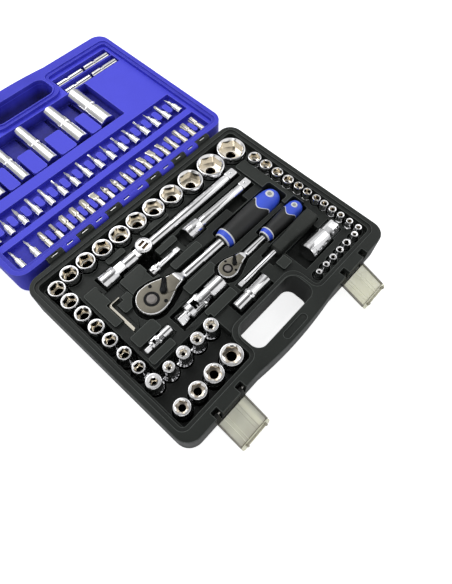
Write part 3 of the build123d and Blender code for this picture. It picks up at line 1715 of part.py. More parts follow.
with BuildPart() as bit_sockets:
    bit_socket_z = rest_floor + seat_play + bit_socket_body / 2
    holders = [(x, bit_socket_start) for x in bit_socket_places] + [(x, rim_back + 1.6) for x in extra_places]
    for x, depth in holders:
        mouth_plane = along_y(x, across(LID, depth), bit_socket_z)
        extrude(disc_on(mouth_plane, bit_socket_body), amount=bit_socket_length * 0.6)
        nose_plane = along_y(x, across(LID, depth + bit_socket_length * 0.6), bit_socket_z)
        extrude(disc_on(nose_plane, bit_socket_body * 0.62), amount=bit_socket_length * 0.4)
        extrude(
            plates(mouth_plane, [(-quarter_drive / 2, -quarter_drive / 2, quarter_drive / 2, quarter_drive / 2)]),
            amount=quarter_drive_depth,
            mode=Mode.SUBTRACT,
        )
bit_sockets.part.label = "bit_sockets"
export_step(bit_sockets.part, "parts/bit_sockets.step")

bit_shank_length = 17.0
bit_tips = ["slot", "slot", "slot", "cross", "cross", "cross", "hex", "hex", "hex", "hex", "star"]
with BuildPart() as screw_bits:
    bit_z = rest_floor + seat_play + bit_hex / 2
    for index, x in enumerate(bit_places):
        shape = bit_tips[index % len(bit_tips)]
        width = 4.0 + 0.4 * (index % 7)
        base_plane = along_y(x, across(LID, bit_start), bit_z)
        tip_plane = along_y(x, across(LID, bit_start + bit_shank_length), bit_z)
        tip_long = bit_length - bit_shank_length
        extrude(polygon_on(base_plane, bit_hex, 6), amount=bit_shank_length)
        if shape == "slot":
            extrude(plates(tip_plane, [(-width * 0.6, -0.6, width * 0.6, 0.6)]), amount=tip_long)
        elif shape == "cross":
            extrude(plates(tip_plane, [(-width / 2, -0.8, width / 2, 0.8)]), amount=tip_long)
            extrude(plates(tip_plane, [(-0.8, -width / 2, 0.8, width / 2)]), amount=tip_long)
        elif shape == "hex":
            extrude(polygon_on(tip_plane, width, 6), amount=tip_long)
        else:
            extrude(stars([(0, 0, width)], tip_plane), amount=tip_long)
screw_bits.part.label = "screw_bits"
export_step(screw_bits.part, "parts/screw_bits.step")
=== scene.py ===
import json
import math
import random

import bmesh
import bpy
import numpy as np
from mathutils import Matrix, Vector
from mathutils.bvhtree import BVHTree

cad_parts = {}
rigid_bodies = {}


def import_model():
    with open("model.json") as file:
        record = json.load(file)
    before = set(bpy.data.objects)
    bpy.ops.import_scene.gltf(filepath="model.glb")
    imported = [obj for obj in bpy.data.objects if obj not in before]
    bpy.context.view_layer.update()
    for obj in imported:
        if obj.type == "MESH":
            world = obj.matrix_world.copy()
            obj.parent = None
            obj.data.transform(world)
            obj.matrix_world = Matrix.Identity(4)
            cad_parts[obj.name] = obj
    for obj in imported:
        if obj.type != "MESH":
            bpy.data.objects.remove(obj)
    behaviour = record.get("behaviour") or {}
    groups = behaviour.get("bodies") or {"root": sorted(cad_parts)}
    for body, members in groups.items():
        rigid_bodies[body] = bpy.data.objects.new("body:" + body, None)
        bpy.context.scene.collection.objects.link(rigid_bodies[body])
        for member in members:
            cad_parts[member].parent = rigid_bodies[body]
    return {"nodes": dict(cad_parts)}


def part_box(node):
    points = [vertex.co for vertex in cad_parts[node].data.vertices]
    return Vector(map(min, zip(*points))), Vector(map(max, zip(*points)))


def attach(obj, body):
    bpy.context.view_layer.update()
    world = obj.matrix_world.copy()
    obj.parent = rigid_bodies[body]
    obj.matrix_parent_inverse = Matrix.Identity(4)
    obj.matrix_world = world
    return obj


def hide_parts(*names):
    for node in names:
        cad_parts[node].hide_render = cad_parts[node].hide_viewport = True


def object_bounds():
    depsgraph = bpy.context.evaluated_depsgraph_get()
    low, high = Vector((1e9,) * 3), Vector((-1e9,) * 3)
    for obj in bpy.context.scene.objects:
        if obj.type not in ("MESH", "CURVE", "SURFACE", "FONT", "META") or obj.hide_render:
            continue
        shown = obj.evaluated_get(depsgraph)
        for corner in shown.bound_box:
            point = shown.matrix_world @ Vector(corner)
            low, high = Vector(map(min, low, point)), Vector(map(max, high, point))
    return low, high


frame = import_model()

cad_box = [list(v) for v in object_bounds()]
MM = 0.001

# ---- Base half of the case ----
# The tray that lies flat: a deep moulding with a rim, a ledge inside it and a pocket for every tool.
# Black polypropylene with a fine spark grain and scattered scuffs. The pad tops and rim are painted a little
# paler and the upward rounded edges paler still, as painted light; the pockets are painted darker towards
# their floors, as painted shade.
# It is one moulding, with the lands between the pockets raised as low pads.
base_colour = (0.0115, 0.0135, 0.0120)
# Pad tops are painted paler than the base colour as painted light; the two edge colours are painted highlight
# on upward rounded edges.
pad_colour = (0.030, 0.034, 0.030)
base_edge_highlight_colour = (0.058, 0.064, 0.059)
pad_edge_highlight_colour = (0.112, 0.122, 0.113)
outside_colour = (0.0155, 0.0175, 0.016)
pad_height = 39.0
rim_height = 46.0
# Heights between which the pockets go from full painted shade to none.
pocket_shade_bottom, pocket_shade_top = 22.0, 33.0
base_edge_radius = 0.8


def give(tree, socket, value):
    """Links an input to another socket, or sets it to a plain value; a colour gets its fourth number here."""
    if isinstance(value, bpy.types.NodeSocket):
        tree.links.new(value, socket)
    elif isinstance(value, tuple) and len(socket.default_value) == 4:
        socket.default_value = (*value, 1.0)
    else:
        socket.default_value = value


def set_up(tree, node, inputs):
    """Gives each named input of a node its socket or value."""
    for name, value in inputs.items():
        give(tree, node.inputs[name], value)
    return node


def shader_group(name, inputs, outputs):
    """A node group with named sockets, its own input and output nodes ready."""
    group = bpy.data.node_groups.new(name, "ShaderNodeTree")
    for label, kind, value in inputs:
        made = group.interface.new_socket(label, in_out="INPUT", socket_type=kind)
        made.default_value = value
    for label in outputs:
        group.interface.new_socket(label, in_out="OUTPUT", socket_type="NodeSocketFloat")
    return group, group.nodes.new("NodeGroupInput"), group.nodes.new("NodeGroupOutput")


def placed_group(tree, group):
    """The node that places a group in a material."""
    node = tree.nodes.new("ShaderNodeGroup")
    node.node_tree = group
    return node


def object_place(tree):
    """The place on the object."""
    return tree.nodes.new("ShaderNodeTexCoord").outputs["Object"]


def place_parts(tree):
    """The separate X, Y and Z of the place on the object."""
    parts = tree.nodes.new("ShaderNodeSeparateXYZ")
    tree.links.new(object_place(tree), parts.inputs[0])
    return parts.outputs


def noise(tree, place, scale, detail=2.0, rough=0.5):
    """A noise texture's value over these places."""
    node = tree.nodes.new("ShaderNodeTexNoise")
    set_up(tree, node, {"Vector": place, "Scale": scale, "Detail": detail, "Roughness": rough})
    return node.outputs["Fac"]


def mix_colour(tree, factor, a, b):
    """A colour mix; each of the three is a socket or a value."""
    node = tree.nodes.new("ShaderNodeMix")
    node.data_type = "RGBA"
    for name, value in (("Factor", factor), ("A", a), ("B", b)):
        give(tree, next(s for s in node.inputs if s.name == name and s.enabled), value)
    return next(s for s in node.outputs if s.enabled)


def number(tree, operation, a, b):
    """A math node's result; a and b are sockets or numbers."""
    node = tree.nodes.new("ShaderNodeMath")
    node.operation = operation
    give(tree, node.inputs[0], a)
    give(tree, node.inputs[1], b)
    return node.outputs[0]


def spread(tree, value, low, high, out_low=0.0, out_high=1.0):
    """Maps a value from one range to another, held at the ends."""
    node = tree.nodes.new("ShaderNodeMapRange")
    set_up(tree, node, {"Value": value, "From Min": low, "From Max": high})
    set_up(tree, node, {"To Min": out_low, "To Max": out_high})
    return node.outputs["Result"]


def bump(tree, height, strength, distance):
    """The normal of a bump over a height."""
    node = tree.nodes.new("ShaderNodeBump")
    set_up(tree, node, {"Height": height, "Strength": strength, "Distance": distance})
    return node.outputs["Normal"]


def new_material(name):
    """An empty material with its principled shader."""
    material = bpy.data.materials.new(name)
    material.use_nodes = True
    return material, material.node_tree, material.node_tree.nodes["Principled BSDF"]


def moulded_grain():
    """Spark grain of a moulding: a fine height, a slow drift of tone, and scattered scuffs."""
    group, start, end = shader_group(
        "moulded_grain",
        [("Grain", "NodeSocketFloat", 1900.0), ("Drift", "NodeSocketFloat", 22.0)],
        ["Height", "Tone", "Scuff"],
    )
    place = object_place(group)
    scuff = noise(group, place, 160.0, 6.0, 0.7)
    set_up(group, end, {
        "Height": noise(group, place, start.outputs["Grain"]),
        "Tone": noise(group, place, start.outputs["Drift"], 5.0),
        "Scuff": spread(group, scuff, 0.56, 0.72),
    })
    return group


GRAIN = moulded_grain()


def moulded_plastic(name, colour, pad, rough, wear, depth=0.45):
    """Case plastic: grain, a slow change of tone, scuffs, pads and rim painted paler as painted light; depth
    sets the painted shade that darkens the pockets.
    """
    material, tree, shader = new_material(name)
    grain = placed_group(tree, GRAIN).outputs
    height = place_parts(tree)["Z"]

    def climb(low, high, start=0.0, end=1.0):
        """A value that goes from start to end between two heights in millimetres."""
        return spread(tree, height, low * MM, high * MM, start, end)

    # Painted light: pad tops and the rim are mixed towards the paler pad colour.
    up_to_pad = climb(pad_height - 0.6, pad_height - 0.2)
    off_the_pad = climb(pad_height + 0.2, pad_height + 0.6, 1.0, 0.0)
    on_pad = number(tree, "MULTIPLY", up_to_pad, off_the_pad)
    on_rim = climb(rim_height - 2.5, rim_height - 0.2, 0.0, 0.4)
    # Painted shade: from pocket_shade_top down to pocket_shade_bottom the colour darkens to depth times
    # itself.
    low = tuple(c * depth for c in colour)
    light = tuple(min(1.0, c * 1.35 + 0.004) for c in pad)
    dusty = tuple(min(1.0, c * 1.2 + 0.05) for c in pad)
    deep = mix_colour(tree, climb(pocket_shade_bottom, pocket_shade_top), low, colour)
    padded = mix_colour(tree, number(tree, "MAXIMUM", on_pad, on_rim), deep, pad)
    toned = mix_colour(tree, spread(tree, grain["Tone"], 0.35, 0.7, 0.0, 0.35), padded, light)
    set_up(tree, shader, {
        "Base Color": mix_colour(tree, number(tree, "MULTIPLY", grain["Scuff"], wear), toned, dusty),
        "Roughness": spread(tree, grain["Tone"], 0.3, 0.7, rough - 0.06, rough + 0.08),
        "Specular IOR Level": 0.20,
        "Normal": bump(tree, grain["Height"], 0.22, 0.00012),
    })
    return material


BASE_PLASTIC = moulded_plastic("base_plastic", base_colour, pad_colour, 0.46, 0.10)
# Painted highlight on the upward rounded edges, paler than the base.
BASE_EDGE_HIGHLIGHT = moulded_plastic("base_plastic_rubbed", base_edge_highlight_colour, pad_edge_highlight_colour, 0.38, 0.10, 0.30)
BASE_OUTSIDE = moulded_plastic("base_plastic_outside", outside_colour, outside_colour, 0.46, 0.10, 1.0)


def values_of(items, name, width=1, kind=float):
    """One property of every item, as an array."""
    values = np.empty(len(items) * width, dtype=kind)
    items.foreach_get(name, values)
    return values


def flat_normals(mesh):
    """Normals weighted by area, so that large flats shade flat and only the rounded edges turn."""
    areas = values_of(mesh.polygons, "area")
    normals = values_of(mesh.polygons, "normal", 3).reshape(-1, 3)
    sizes = values_of(mesh.polygons, "loop_total", kind=int)
    corners = values_of(mesh.loops, "vertex_index", kind=int)
    total = np.zeros((len(mesh.vertices), 3))
    np.add.at(total, corners, np.repeat(normals * areas[:, None], sizes, axis=0))
    total /= np.maximum(np.linalg.norm(total, axis=1), 1e-20)[:, None]
    mesh.normals_split_custom_set_from_vertices(total.tolist())


def outward(face):
    """How far a strip of rounding stands out from the faces beside it."""
    place = face.calc_center_median()
    return sum(
        (place - other.calc_center_median()).normalized().dot(face.normal)
        for edge in face.edges
        for other in edge.link_faces
        if other is not face
    )


def round_edges(work, radius, angle, **more):
    """Rounds every edge that turns by more than the angle in two steps; the radius is in millimetres."""
    sharp = [e for e in work.edges if len(e.link_faces) == 2 and e.calc_face_angle(0.0) > angle]
    bmesh.ops.bevel(
        work, geom=sharp, offset=radius * MM, offset_type="OFFSET", segments=2, profile=0.6,
        affect="EDGES", **more,
    )


def split_large_faces(work):
    """Cuts faces of more than four corners into triangles."""
    bmesh.ops.triangulate(work, faces=[f for f in work.faces if len(f.verts) > 4])


def linked_object(name, data):
    """An object in the scene's own collection."""
    made = bpy.data.objects.new(name, data)
    bpy.context.scene.collection.objects.link(made)
    return made


def rounded_copy(node, piece_name, materials, radius, body):
    """A welded copy that stands for a moulding or forging, with its sharp edges rounded.

    A second material, a painted highlight, is for the raised edges that face up, and a third for the outside
    faces.
    """
    mesh = frame["nodes"][node].data.copy()
    work = bmesh.new()
    work.from_mesh(mesh)
    bmesh.ops.remove_doubles(work, verts=work.verts, dist=0.02 * MM)
    bmesh.ops.dissolve_limit(work, angle_limit=math.radians(0.8), verts=work.verts, edges=work.edges)
    bmesh.ops.dissolve_degenerate(work, dist=0.05 * MM, edges=work.edges)
    split_large_faces(work)
    unrounded = BVHTree.FromBMesh(work)
    round_edges(work, radius, math.radians(32.0), clamp_overlap=False, miter_outer="ARC", material=1)
    for vert in work.verts:
        spot, _, _, away = unrounded.find_nearest(vert.co)
        if away > 0.6 * radius * MM:
            vert.co = spot
    work.normal_update()
    near = BVHTree.FromBMesh(work)
    for face in work.faces:
        # Only rounding strips that face up and stand out keep the painted highlight; the outside faces take
        # the third material.
        if len(materials) == 1 or face.material_index == 1 and (face.normal.z < 0.12 or outward(face) < 0.0):
            face.material_index = 0
        if len(materials) == 3 and face.normal.z < 0.5:
            beside = face.calc_center_median() + face.normal * 0.2 * MM
            if face.normal.z < -0.3 or near.ray_cast(beside, face.normal)[0] is None:
                face.material_index = 2
    split_large_faces(work)
    mesh.materials.clear()
    for material in materials:
        mesh.materials.append(material)
    work.to_mesh(mesh)
    work.free()
    mesh.shade_smooth()
    flat_normals(mesh)
    piece = linked_object(piece_name, mesh)
    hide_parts(node)
    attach(piece, body)
    return piece


base_finishes = [BASE_PLASTIC, BASE_EDGE_HIGHLIGHT, BASE_OUTSIDE]
rounded_copy("base_shell", "base_case", base_finishes, base_edge_radius, "case")

# ---- Lid half of the case ----
# The other half, lying open behind the hinge, with rows for bits and for deep sockets.
# The same moulded polypropylene, coloured violet blue, with the same grain, the same painted light on pad
# tops and upward edges, and painted shade in its pockets.
lid_colour = (0.040, 0.040, 0.52)
lid_pad_colour = (0.090, 0.092, 0.86)
# Painted highlight colours for the upward rounded edges.
lid_edge_highlight_colour = (0.095, 0.10, 0.76)
lid_pad_edge_highlight_colour = (0.17, 0.175, 0.95)
lid_outside_colour = (0.045, 0.046, 0.54)
lid_edge_radius = 0.55
# Pockets are painted darker (depth 0.30) as painted shade.
lid_finishes = [
    moulded_plastic("lid_plastic", lid_colour, lid_pad_colour, 0.46, 0.04, 0.30),
    moulded_plastic("lid_plastic_rubbed", lid_edge_highlight_colour, lid_pad_edge_highlight_colour, 0.40, 0.04, 0.40),
    moulded_plastic("lid_plastic_outside", lid_outside_colour, lid_outside_colour, 0.46, 0.04, 1.0),
]
rounded_copy("lid_shell", "lid_case", lid_finishes, lid_edge_radius, "lid")

# ---- Hinge pin and latch pins ----
# Bright steel wire pins, drawn and cut, pushed through the knuckles and through the latch ears.
# They keep the shapes they have, with a drawn finish along them.
streaks_along_x = (4.0, 60.0, 60.0)


def drawn_steel(name, colour, rough):
    """Bare steel with fine streaks along the piece and a slow change of tone."""
    material, tree, shader = new_material(name)
    stretch = tree.nodes.new("ShaderNodeMapping")
    set_up(tree, stretch, {"Vector": object_place(tree), "Scale": streaks_along_x})
    streaks = noise(tree, stretch.outputs[0], 60.0, 4.0)
    dark = tuple(c * 0.72 for c in colour)
    set_up(tree, shader, {
        "Base Color": mix_colour(tree, spread(tree, streaks, 0.35, 0.65), dark, colour),
        "Roughness": spread(tree, streaks, 0.3, 0.7, rough - 0.05, rough + 0.1),
        "Metallic": 1.0,
        "Normal": bump(tree, streaks, 0.15, 0.00005),
    })
    return material


def refinish(node, material):
    """Gives a solid that keeps its shape a better material."""
    held = frame["nodes"][node].data.materials
    held.clear()
    held.append(material)


PIN_STEEL = drawn_steel("pin_steel", (0.62, 0.60, 0.57), 0.28)
for node in ("hinge_pin", "latch_pins"):
    refinish(node, PIN_STEEL)

# ---- Latches ----
# Two clips that swing on their pins and hook over the lid's catches: a banded plate between side rails,
# with a rolled lip and hooks, moulded in smoky clear polycarbonate that looks darker where it is thick.
# The ears at the pin and the bar between them are black, painted shade that stands in for the clear root seen
# in shadow over the dark base. The plate's pale and dark bands are painted reflections, its end by the hook
# is painted browner as painted shade, and the right latch is painted paler as painted light.


class Shape:
    """Points and faces gathered for one piece, in millimetres, each face with its finish."""

    def __init__(self):
        self.points = []
        self.faces = []
        self.finish = []
        self.inner = []

    def add(self, points, faces, finish=0, inner=0.0):
        """Adds faces; inner says how deep in a bore the points are, which sets painted shade there, or how
        pale a latch band is painted.
        """
        start = len(self.points)
        self.points.extend(tuple(p) for p in points)
        self.inner.extend([inner] * len(points) if isinstance(inner, float) else inner)
        self.faces.extend([tuple(start + i for i in face) for face in faces])
        self.finish.extend([finish] * len(faces))

    def skin(self, rings, finish=0, inner=0.0, closed=False, start_cap=True, end_cap=True):
        """A surface through rings of equal count; closed joins the last ring to the first."""
        count = len(rings[0])
        faces = []
        for i in range(len(rings) if closed else len(rings) - 1):
            a, b = i * count, ((i + 1) % len(rings)) * count
            for k in range(count):
                n = (k + 1) % count
                faces.append((a + k, a + n, b + n, b + k))
        if not closed and start_cap:
            faces.append(tuple(reversed(range(count))))
        if not closed and end_cap:
            last = (len(rings) - 1) * count
            faces.append(tuple(range(last, last + count)))
        if isinstance(inner, list):
            inner = [value for value in inner for _ in range(count)]
        self.add([p for ring in rings for p in ring], faces, finish, inner)

    def box(self, low, high, finish=0):
        """A block between two corners."""
        x0, y0, z0 = low
        x1, y1, z1 = high
        points = [(x, y, z) for z in (z0, z1) for x, y in ((x0, y0), (x1, y0), (x1, y1), (x0, y1))]
        faces = [(3, 2, 1, 0), (4, 5, 6, 7), (0, 1, 5, 4), (1, 2, 6, 5), (2, 3, 7, 6), (3, 0, 4, 7)]
        self.add(points, faces, finish)

    def move(self, place):
        """Moves every point by a matrix."""
        self.points = [tuple(place @ Vector(p)) for p in self.points]

    def mesh(self, name, materials, angle, rounding=None):
        """The mesh: welded, rounded and with its faces outwards."""
        mesh = bpy.data.meshes.new(name)
        mesh.from_pydata([tuple(c * MM for c in p) for p in self.points], [], self.faces)
        for material in materials:
            mesh.materials.append(material)
        mesh.polygons.foreach_set("material_index", self.finish)
        mesh.attributes.new("inner", "FLOAT", "POINT").data.foreach_set("value", self.inner)
        work = bmesh.new()
        work.from_mesh(mesh)
        bmesh.ops.remove_doubles(work, verts=work.verts, dist=0.004 * MM)
        bmesh.ops.recalc_face_normals(work, faces=work.faces)
        if rounding:
            round_edges(work, rounding, 0.6, clamp_overlap=True)
        work.to_mesh(mesh)
        work.free()
        mesh.shade_smooth()
        mesh.set_sharp_from_angle(angle=math.radians(angle))
        return mesh

    def piece(self, name, materials, body, nodes, slot, angle=38.0, rounding=None, place=None):
        """Makes the object, which stands for its nodes and rides on its body."""
        if place is not None:
            self.move(place)
        return piece_of(self.mesh(name, materials, angle, rounding), name, body, nodes)


def piece_of(mesh, name, body, nodes):
    """An object from a finished mesh, standing for its nodes and riding on its body."""
    made = linked_object(name, mesh)
    if nodes:
        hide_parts(*nodes)
    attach(made, body)
    return made


def angles(count):
    """Even steps round a whole turn, in radians."""
    return [2 * math.pi * k / count for k in range(count)]


def circle_ring(along, radius, count=48):
    """A ring across an axis: (distance along it, and the two coordinates across)."""
    return [(along, radius * math.cos(a), radius * math.sin(a)) for a in angles(count)]


def sided_ring(along, flats, sides, count=48, turn=0.0, soft=0.0):
    """A ring with the outline of a regular polygon given across flats; soft pulls its corners in."""
    part = math.pi / sides
    furthest = flats / 2 / math.cos(part) * (1 - soft)
    ring = []
    for a in angles(count):
        reach = min(flats / 2 / math.cos((a - turn) % (2 * part) - part), furthest)
        ring.append((along, reach * math.cos(a), reach * math.sin(a)))
    return ring


def rounded_outline(width, height, radius):
    """Points round a rectangle with rounded corners, about its own centre."""
    across, up = width / 2 - radius, height / 2 - radius
    points = []
    for cx, cy, start in ((across, up, 0), (-across, up, 90), (-across, -up, 180), (across, -up, 270)):
        for share in range(6):
            a = math.radians(start + 18 * share)
            points.append((cx + radius * math.cos(a), cy + radius * math.sin(a)))
    return points


def smoky_clear(name):
    """Clear smoky plastic: tinted, with pale and dark bands painted as reflections, and painted browner near
    the hook as painted shade.
    """
    material, tree, shader = new_material(name)
    haze = noise(tree, object_place(tree), 60.0, 1.0)
    bands = tree.nodes.new("ShaderNodeAttribute")
    bands.attribute_name = "inner"
    band = bands.outputs["Fac"]
    tone = number(tree, "ADD", band, spread(tree, haze, 0.3, 0.7, -0.06, 0.06))
    tint = mix_colour(tree, spread(tree, tone, 0.0, 1.15), (0.46, 0.455, 0.34), (1.0, 0.985, 0.72))
    # Painted shade: the plate is browned towards the hook.
    hook_shade = spread(tree, place_parts(tree)["Y"], -0.183, -0.164, 0.5, 0.0)
    end = number(tree, "MULTIPLY", hook_shade, spread(tree, band, 0.75, 0.9, 1.0, 0.0))
    set_up(tree, shader, {
        "Base Color": mix_colour(tree, end, tint, (0.36, 0.31, 0.22)),
        "Roughness": spread(tree, haze, 0.3, 0.7, 0.14, 0.20),
        "IOR": 1.5,
        "Alpha": 0.60,
        "Coat Weight": 0.5,
        "Coat Roughness": 0.12,
        "Normal": bump(tree, haze, 0.04, 0.0002),
    })
    return material


def smoky_thick(name):
    """The same plastic where it is thick and takes the light from its edges."""
    material, tree, shader = new_material(name)
    haze = noise(tree, object_place(tree), 180.0)
    set_up(tree, shader, {
        "Base Color": mix_colour(tree, haze, (0.20, 0.185, 0.15), (0.36, 0.33, 0.27)),
        "Roughness": spread(tree, haze, 0.3, 0.7, 0.18, 0.3),
        "Alpha": 0.9,
        "Coat Weight": 0.6,
        "Coat Roughness": 0.1,
    })
    return material


latch_finishes = [
    smoky_clear("smoky_clear"),
    smoky_thick("smoky_thick"),
    # Black for the ears and root: painted shade standing in for the clear root seen in shadow over the dark
    # base.
    moulded_plastic("latch_root_black", (0.010, 0.010, 0.009), (0.016, 0.016, 0.015), 0.34, 0.05),
]
latch_pivot = (-136.5, 35.0)
latch_droop = 18.0
latch_width = 47.0
latch_reach = 52.0
latch_under, latch_face = -9.0, -6.0
plate_start, root_start, root_end = 9.4, 8.6, 10.4
lip_start = latch_reach - 4.9
rail_width, lip_radius = 2.2, 2.2
hook_half, hook_width, hook_height = 17.2, 2.5, -1.0
ear_width, ear_radius = 7.4, 4.0
# The plate's bands, from one side to the other: place, how pale it is painted (pale and dark stripes painted
# as reflections), and how far it stands up.
panel_bands = (
    (-21.4, 0.62, 0.0), (-18.0, 0.52, 0.0), (-14.2, 0.55, 0.0), (-14.0, 1.0, 0.35), (-13.2, 1.0, 0.35),
    (-13.0, 0.66, 0.0), (-9.6, 0.64, 0.0), (-9.4, 1.0, 0.35), (-8.7, 1.0, 0.35), (-8.5, 0.62, 0.0),
    (-2.0, 0.60, 0.0), (4.8, 0.56, 0.0), (5.0, 0.22, 0.3), (5.5, 0.22, 0.3), (5.7, 0.66, 0.0),
    (9.3, 0.62, 0.0), (9.5, 0.26, 0.3), (10.1, 0.26, 0.3), (10.3, 0.80, 0.0), (12.5, 1.05, 0.0),
    (15.5, 1.0, 0.0), (18.0, 0.62, 0.0), (20.2, 0.28, 0.0), (21.4, 0.20, 0.0),
)


def latch_place(x):
    """Takes (across, out along the plate, up from the pivot line) to the latch swung down."""
    a = math.radians(latch_droop)
    return Matrix(
        (
            (1, 0, 0, x),
            (0, -math.cos(a), -math.sin(a), latch_pivot[0]),
            (0, -math.sin(a), math.cos(a), latch_pivot[1]),
            (0, 0, 0, 1),
        )
    )


def latch_shape(pale):
    """One latch about its pivot: banded plate, side rails, rolled lip with its hooks, and two black ears; the
    bands are painted reflections and the black is painted shade.
    """
    shape = Shape()
    half = latch_width / 2
    near, far, low = plate_start, lip_start + 0.6, latch_under + 0.1
    panel = []
    for x, _, up in panel_bands:
        top = low + 1.3 + up
        panel.append([(x, near, low), (x, far, low), (x, far, top), (x, near, top)])
    # pale 1.0 paints every band paler, as painted light.
    shape.skin(panel, 0, [tone * (1 - pale) + (tone * 0.4 + 0.95) * pale for _, tone, _ in panel_bands])
    for x in (-half, half - rail_width):
        shape.box((x, near - 0.4, latch_under), (x + rail_width, lip_start + 0.5, latch_face), 1)
    shape.box((-half + 0.4, lip_start - 0.4, low), (half - 0.4, lip_start + 0.4, latch_face - 0.4), 1)
    middle = (lip_start + latch_reach) / 2
    edge = rounded_outline(latch_width, latch_reach - lip_start, lip_radius)
    levels = (
        (latch_under, 0.985), (latch_under + 0.8, 1.0), (latch_face - 0.6, 1.0), (latch_face - 0.1, 0.98),
    )
    # The rolled lip is painted paler (1.15) as a painted highlight.
    shape.skin([[(x * k, middle + y * k, t) for x, y in edge] for t, k in levels], 0, 1.15)
    root = latch_face - 0.2
    shape.box((-hook_half, latch_reach - 3.6, root), (hook_half, latch_reach - 2.4, hook_height), 0)
    for x in (-hook_half, hook_half - hook_width):
        shape.box((x, latch_reach - 4.2, root), (x + hook_width, latch_reach - 0.4, hook_height), 0)
    shape.box((-half, root_start, latch_under), (half, root_end, latch_face), 2)
    around = np.linspace(math.radians(50), math.radians(215), 14)
    outline = [(ear_radius * math.cos(a), ear_radius * math.sin(a)) for a in around]
    outline += [(root_start + 0.4, latch_under), (root_end, latch_under), (root_end, latch_face)]
    for hand in (-1, 1):
        middle = hand * (half - ear_width / 2 - 0.05)
        sides = (middle - ear_width / 2, middle + ear_width / 2)
        shape.skin([[(x, s, t) for s, t in outline] for x in sides], 2)
    return shape


# The right latch is painted paler as painted light.
for side, x, pale in (("left", -122.5, 0.0), ("right", 117.5, 1.0)):
    latch_shape(pale).piece(
        f"latch_{side}_clip", latch_finishes, f"{side}_latch", [f"latch_{side}"], "latch_plastic",
        rounding=0.35, place=latch_place(x),
    )

# ---- Steel in the hinge windows ----
# Each knuckle has a slot on top through which the hinge pin shows as a bright line.
# The pin's crown there is a half round strip held by the knuckle it lies in, in a paler copy of the pin's
# steel as a painted highlight.
WINDOW_STEEL_HIGHLIGHT = drawn_steel("window_steel", (0.92, 0.91, 0.88), 0.34)
hinge_line = (147.0, 46.25)
window_half = 4.6
strip_half, strip_low, strip_side, strip_rise = 1.3, 0.9, 1.9, 1.4
crown = [
    (strip_half * math.cos(a), strip_side + strip_rise * math.sin(a)) for a in np.linspace(0, math.pi, 13)
]
crown = [(strip_half, strip_low)] + crown + [(-strip_half, strip_low)]
for body, centres in (
    ("case", (-134.2, -85.4, -36.6, 36.6, 85.4, 134.2)),
    ("lid", (-109.8, -61.0, -12.2, 12.2, 61.0, 109.8)),
):
    shape = Shape()
    for centre in centres:
        ends = (centre - window_half, centre + window_half)
        shape.skin([[(x, hinge_line[0] + y, hinge_line[1] + z) for y, z in crown] for x in ends])
    shape.piece(f"hinge_window_steel_{body}", [WINDOW_STEEL_HIGHLIGHT], body, [], "chrome")

# ---- Ratchets ----
# A half inch and a quarter inch ratchet: forged pear head with a satin plate, gear ring, button and lever,
# a chromed shank and a two-part rubber grip. Forged, ground and plated steel; the grips are moulded over it.


def polish_marks():
    """Fine marks drawn out by Grain, and a slow drift in gloss."""
    group, start, end = shader_group(
        "polish_marks", [("Grain", "NodeSocketVector", (1.0, 1.0, 1.0))], ["Marks", "Drift"]
    )
    place = object_place(group)
    drawn = group.nodes.new("ShaderNodeVectorMath")
    drawn.operation = "MULTIPLY"
    give(group, drawn.inputs[0], place)
    give(group, drawn.inputs[1], start.outputs["Grain"])
    drift = noise(group, place, 55.0, 3.0)
    set_up(group, end, {
        "Marks": noise(group, drawn.outputs[0], 900.0, 3.0),
        "Drift": spread(group, drift, 0.35, 0.65),
    })
    return group


POLISH = polish_marks()


def chrome(name, colour=(0.78, 0.78, 0.79), rough=0.10, grain=(1.0, 1.0, 1.0), hollow=None):
    """Plated steel: faint polish marks, a slow drift in gloss, and a browner hollow where asked, darkened
    deepest in as painted shade.
    """
    material, tree, shader = new_material(name)
    polish = set_up(tree, placed_group(tree, POLISH), {"Grain": grain}).outputs
    tone = mix_colour(tree, polish["Drift"], tuple(c * 0.88 for c in colour), colour)
    gloss = spread(tree, polish["Marks"], 0.3, 0.7, max(rough - 0.04, 0.02), rough + 0.06)
    if hollow:
        inner = tree.nodes.new("ShaderNodeAttribute")
        inner.attribute_name = "inner"
        deep = inner.outputs["Fac"]
        warm = mix_colour(tree, spread(tree, deep, 0.0, 0.35), tone, hollow)
        # Painted shade: the deepest part of a bore goes dark brown.
        tone = mix_colour(tree, spread(tree, deep, 0.75, 0.95), warm, (0.16, 0.115, 0.075))
        gloss = number(tree, "ADD", gloss, spread(tree, deep, 0.0, 0.5, 0.0, 0.05))
    set_up(tree, shader, {
        "Base Color": tone,
        "Roughness": gloss,
        "Metallic": 1.0,
        "Normal": bump(tree, polish["Marks"], 0.06, 0.00003),
    })
    return material


def soft_rubber(name, colour, rough=0.62, sheen=0.25):
    """Moulded rubber: fine matt grain, faint handling marks."""
    material, tree, shader = new_material(name)
    grain = placed_group(tree, GRAIN).outputs
    pale = tuple(min(c * 1.5 + 0.006, 1.0) for c in colour)
    set_up(tree, shader, {
        "Base Color": mix_colour(tree, grain["Tone"], colour, pale),
        "Roughness": spread(tree, grain["Scuff"], 0.0, 1.0, rough, rough - 0.12),
        "Sheen Weight": sheen,
        "Sheen Roughness": 0.4,
        "Sheen Tint": tuple(min(c * 4 + 0.1, 1.0) for c in colour),
        "Normal": bump(tree, grain["Height"], 0.35, 0.00012),
    })
    return material


CHROME = chrome("chrome", grain=(0.06, 1.0, 1.0))
SATIN_PLATE = chrome("satin_plate", (0.185, 0.172, 0.142), 0.50, (0.25, 1.0, 1.0))
SATIN_BUTTON = chrome("satin_button", (0.215, 0.20, 0.19), 0.50)
BLACKED = chrome("blacked_steel", (0.012, 0.0125, 0.013), 0.34)
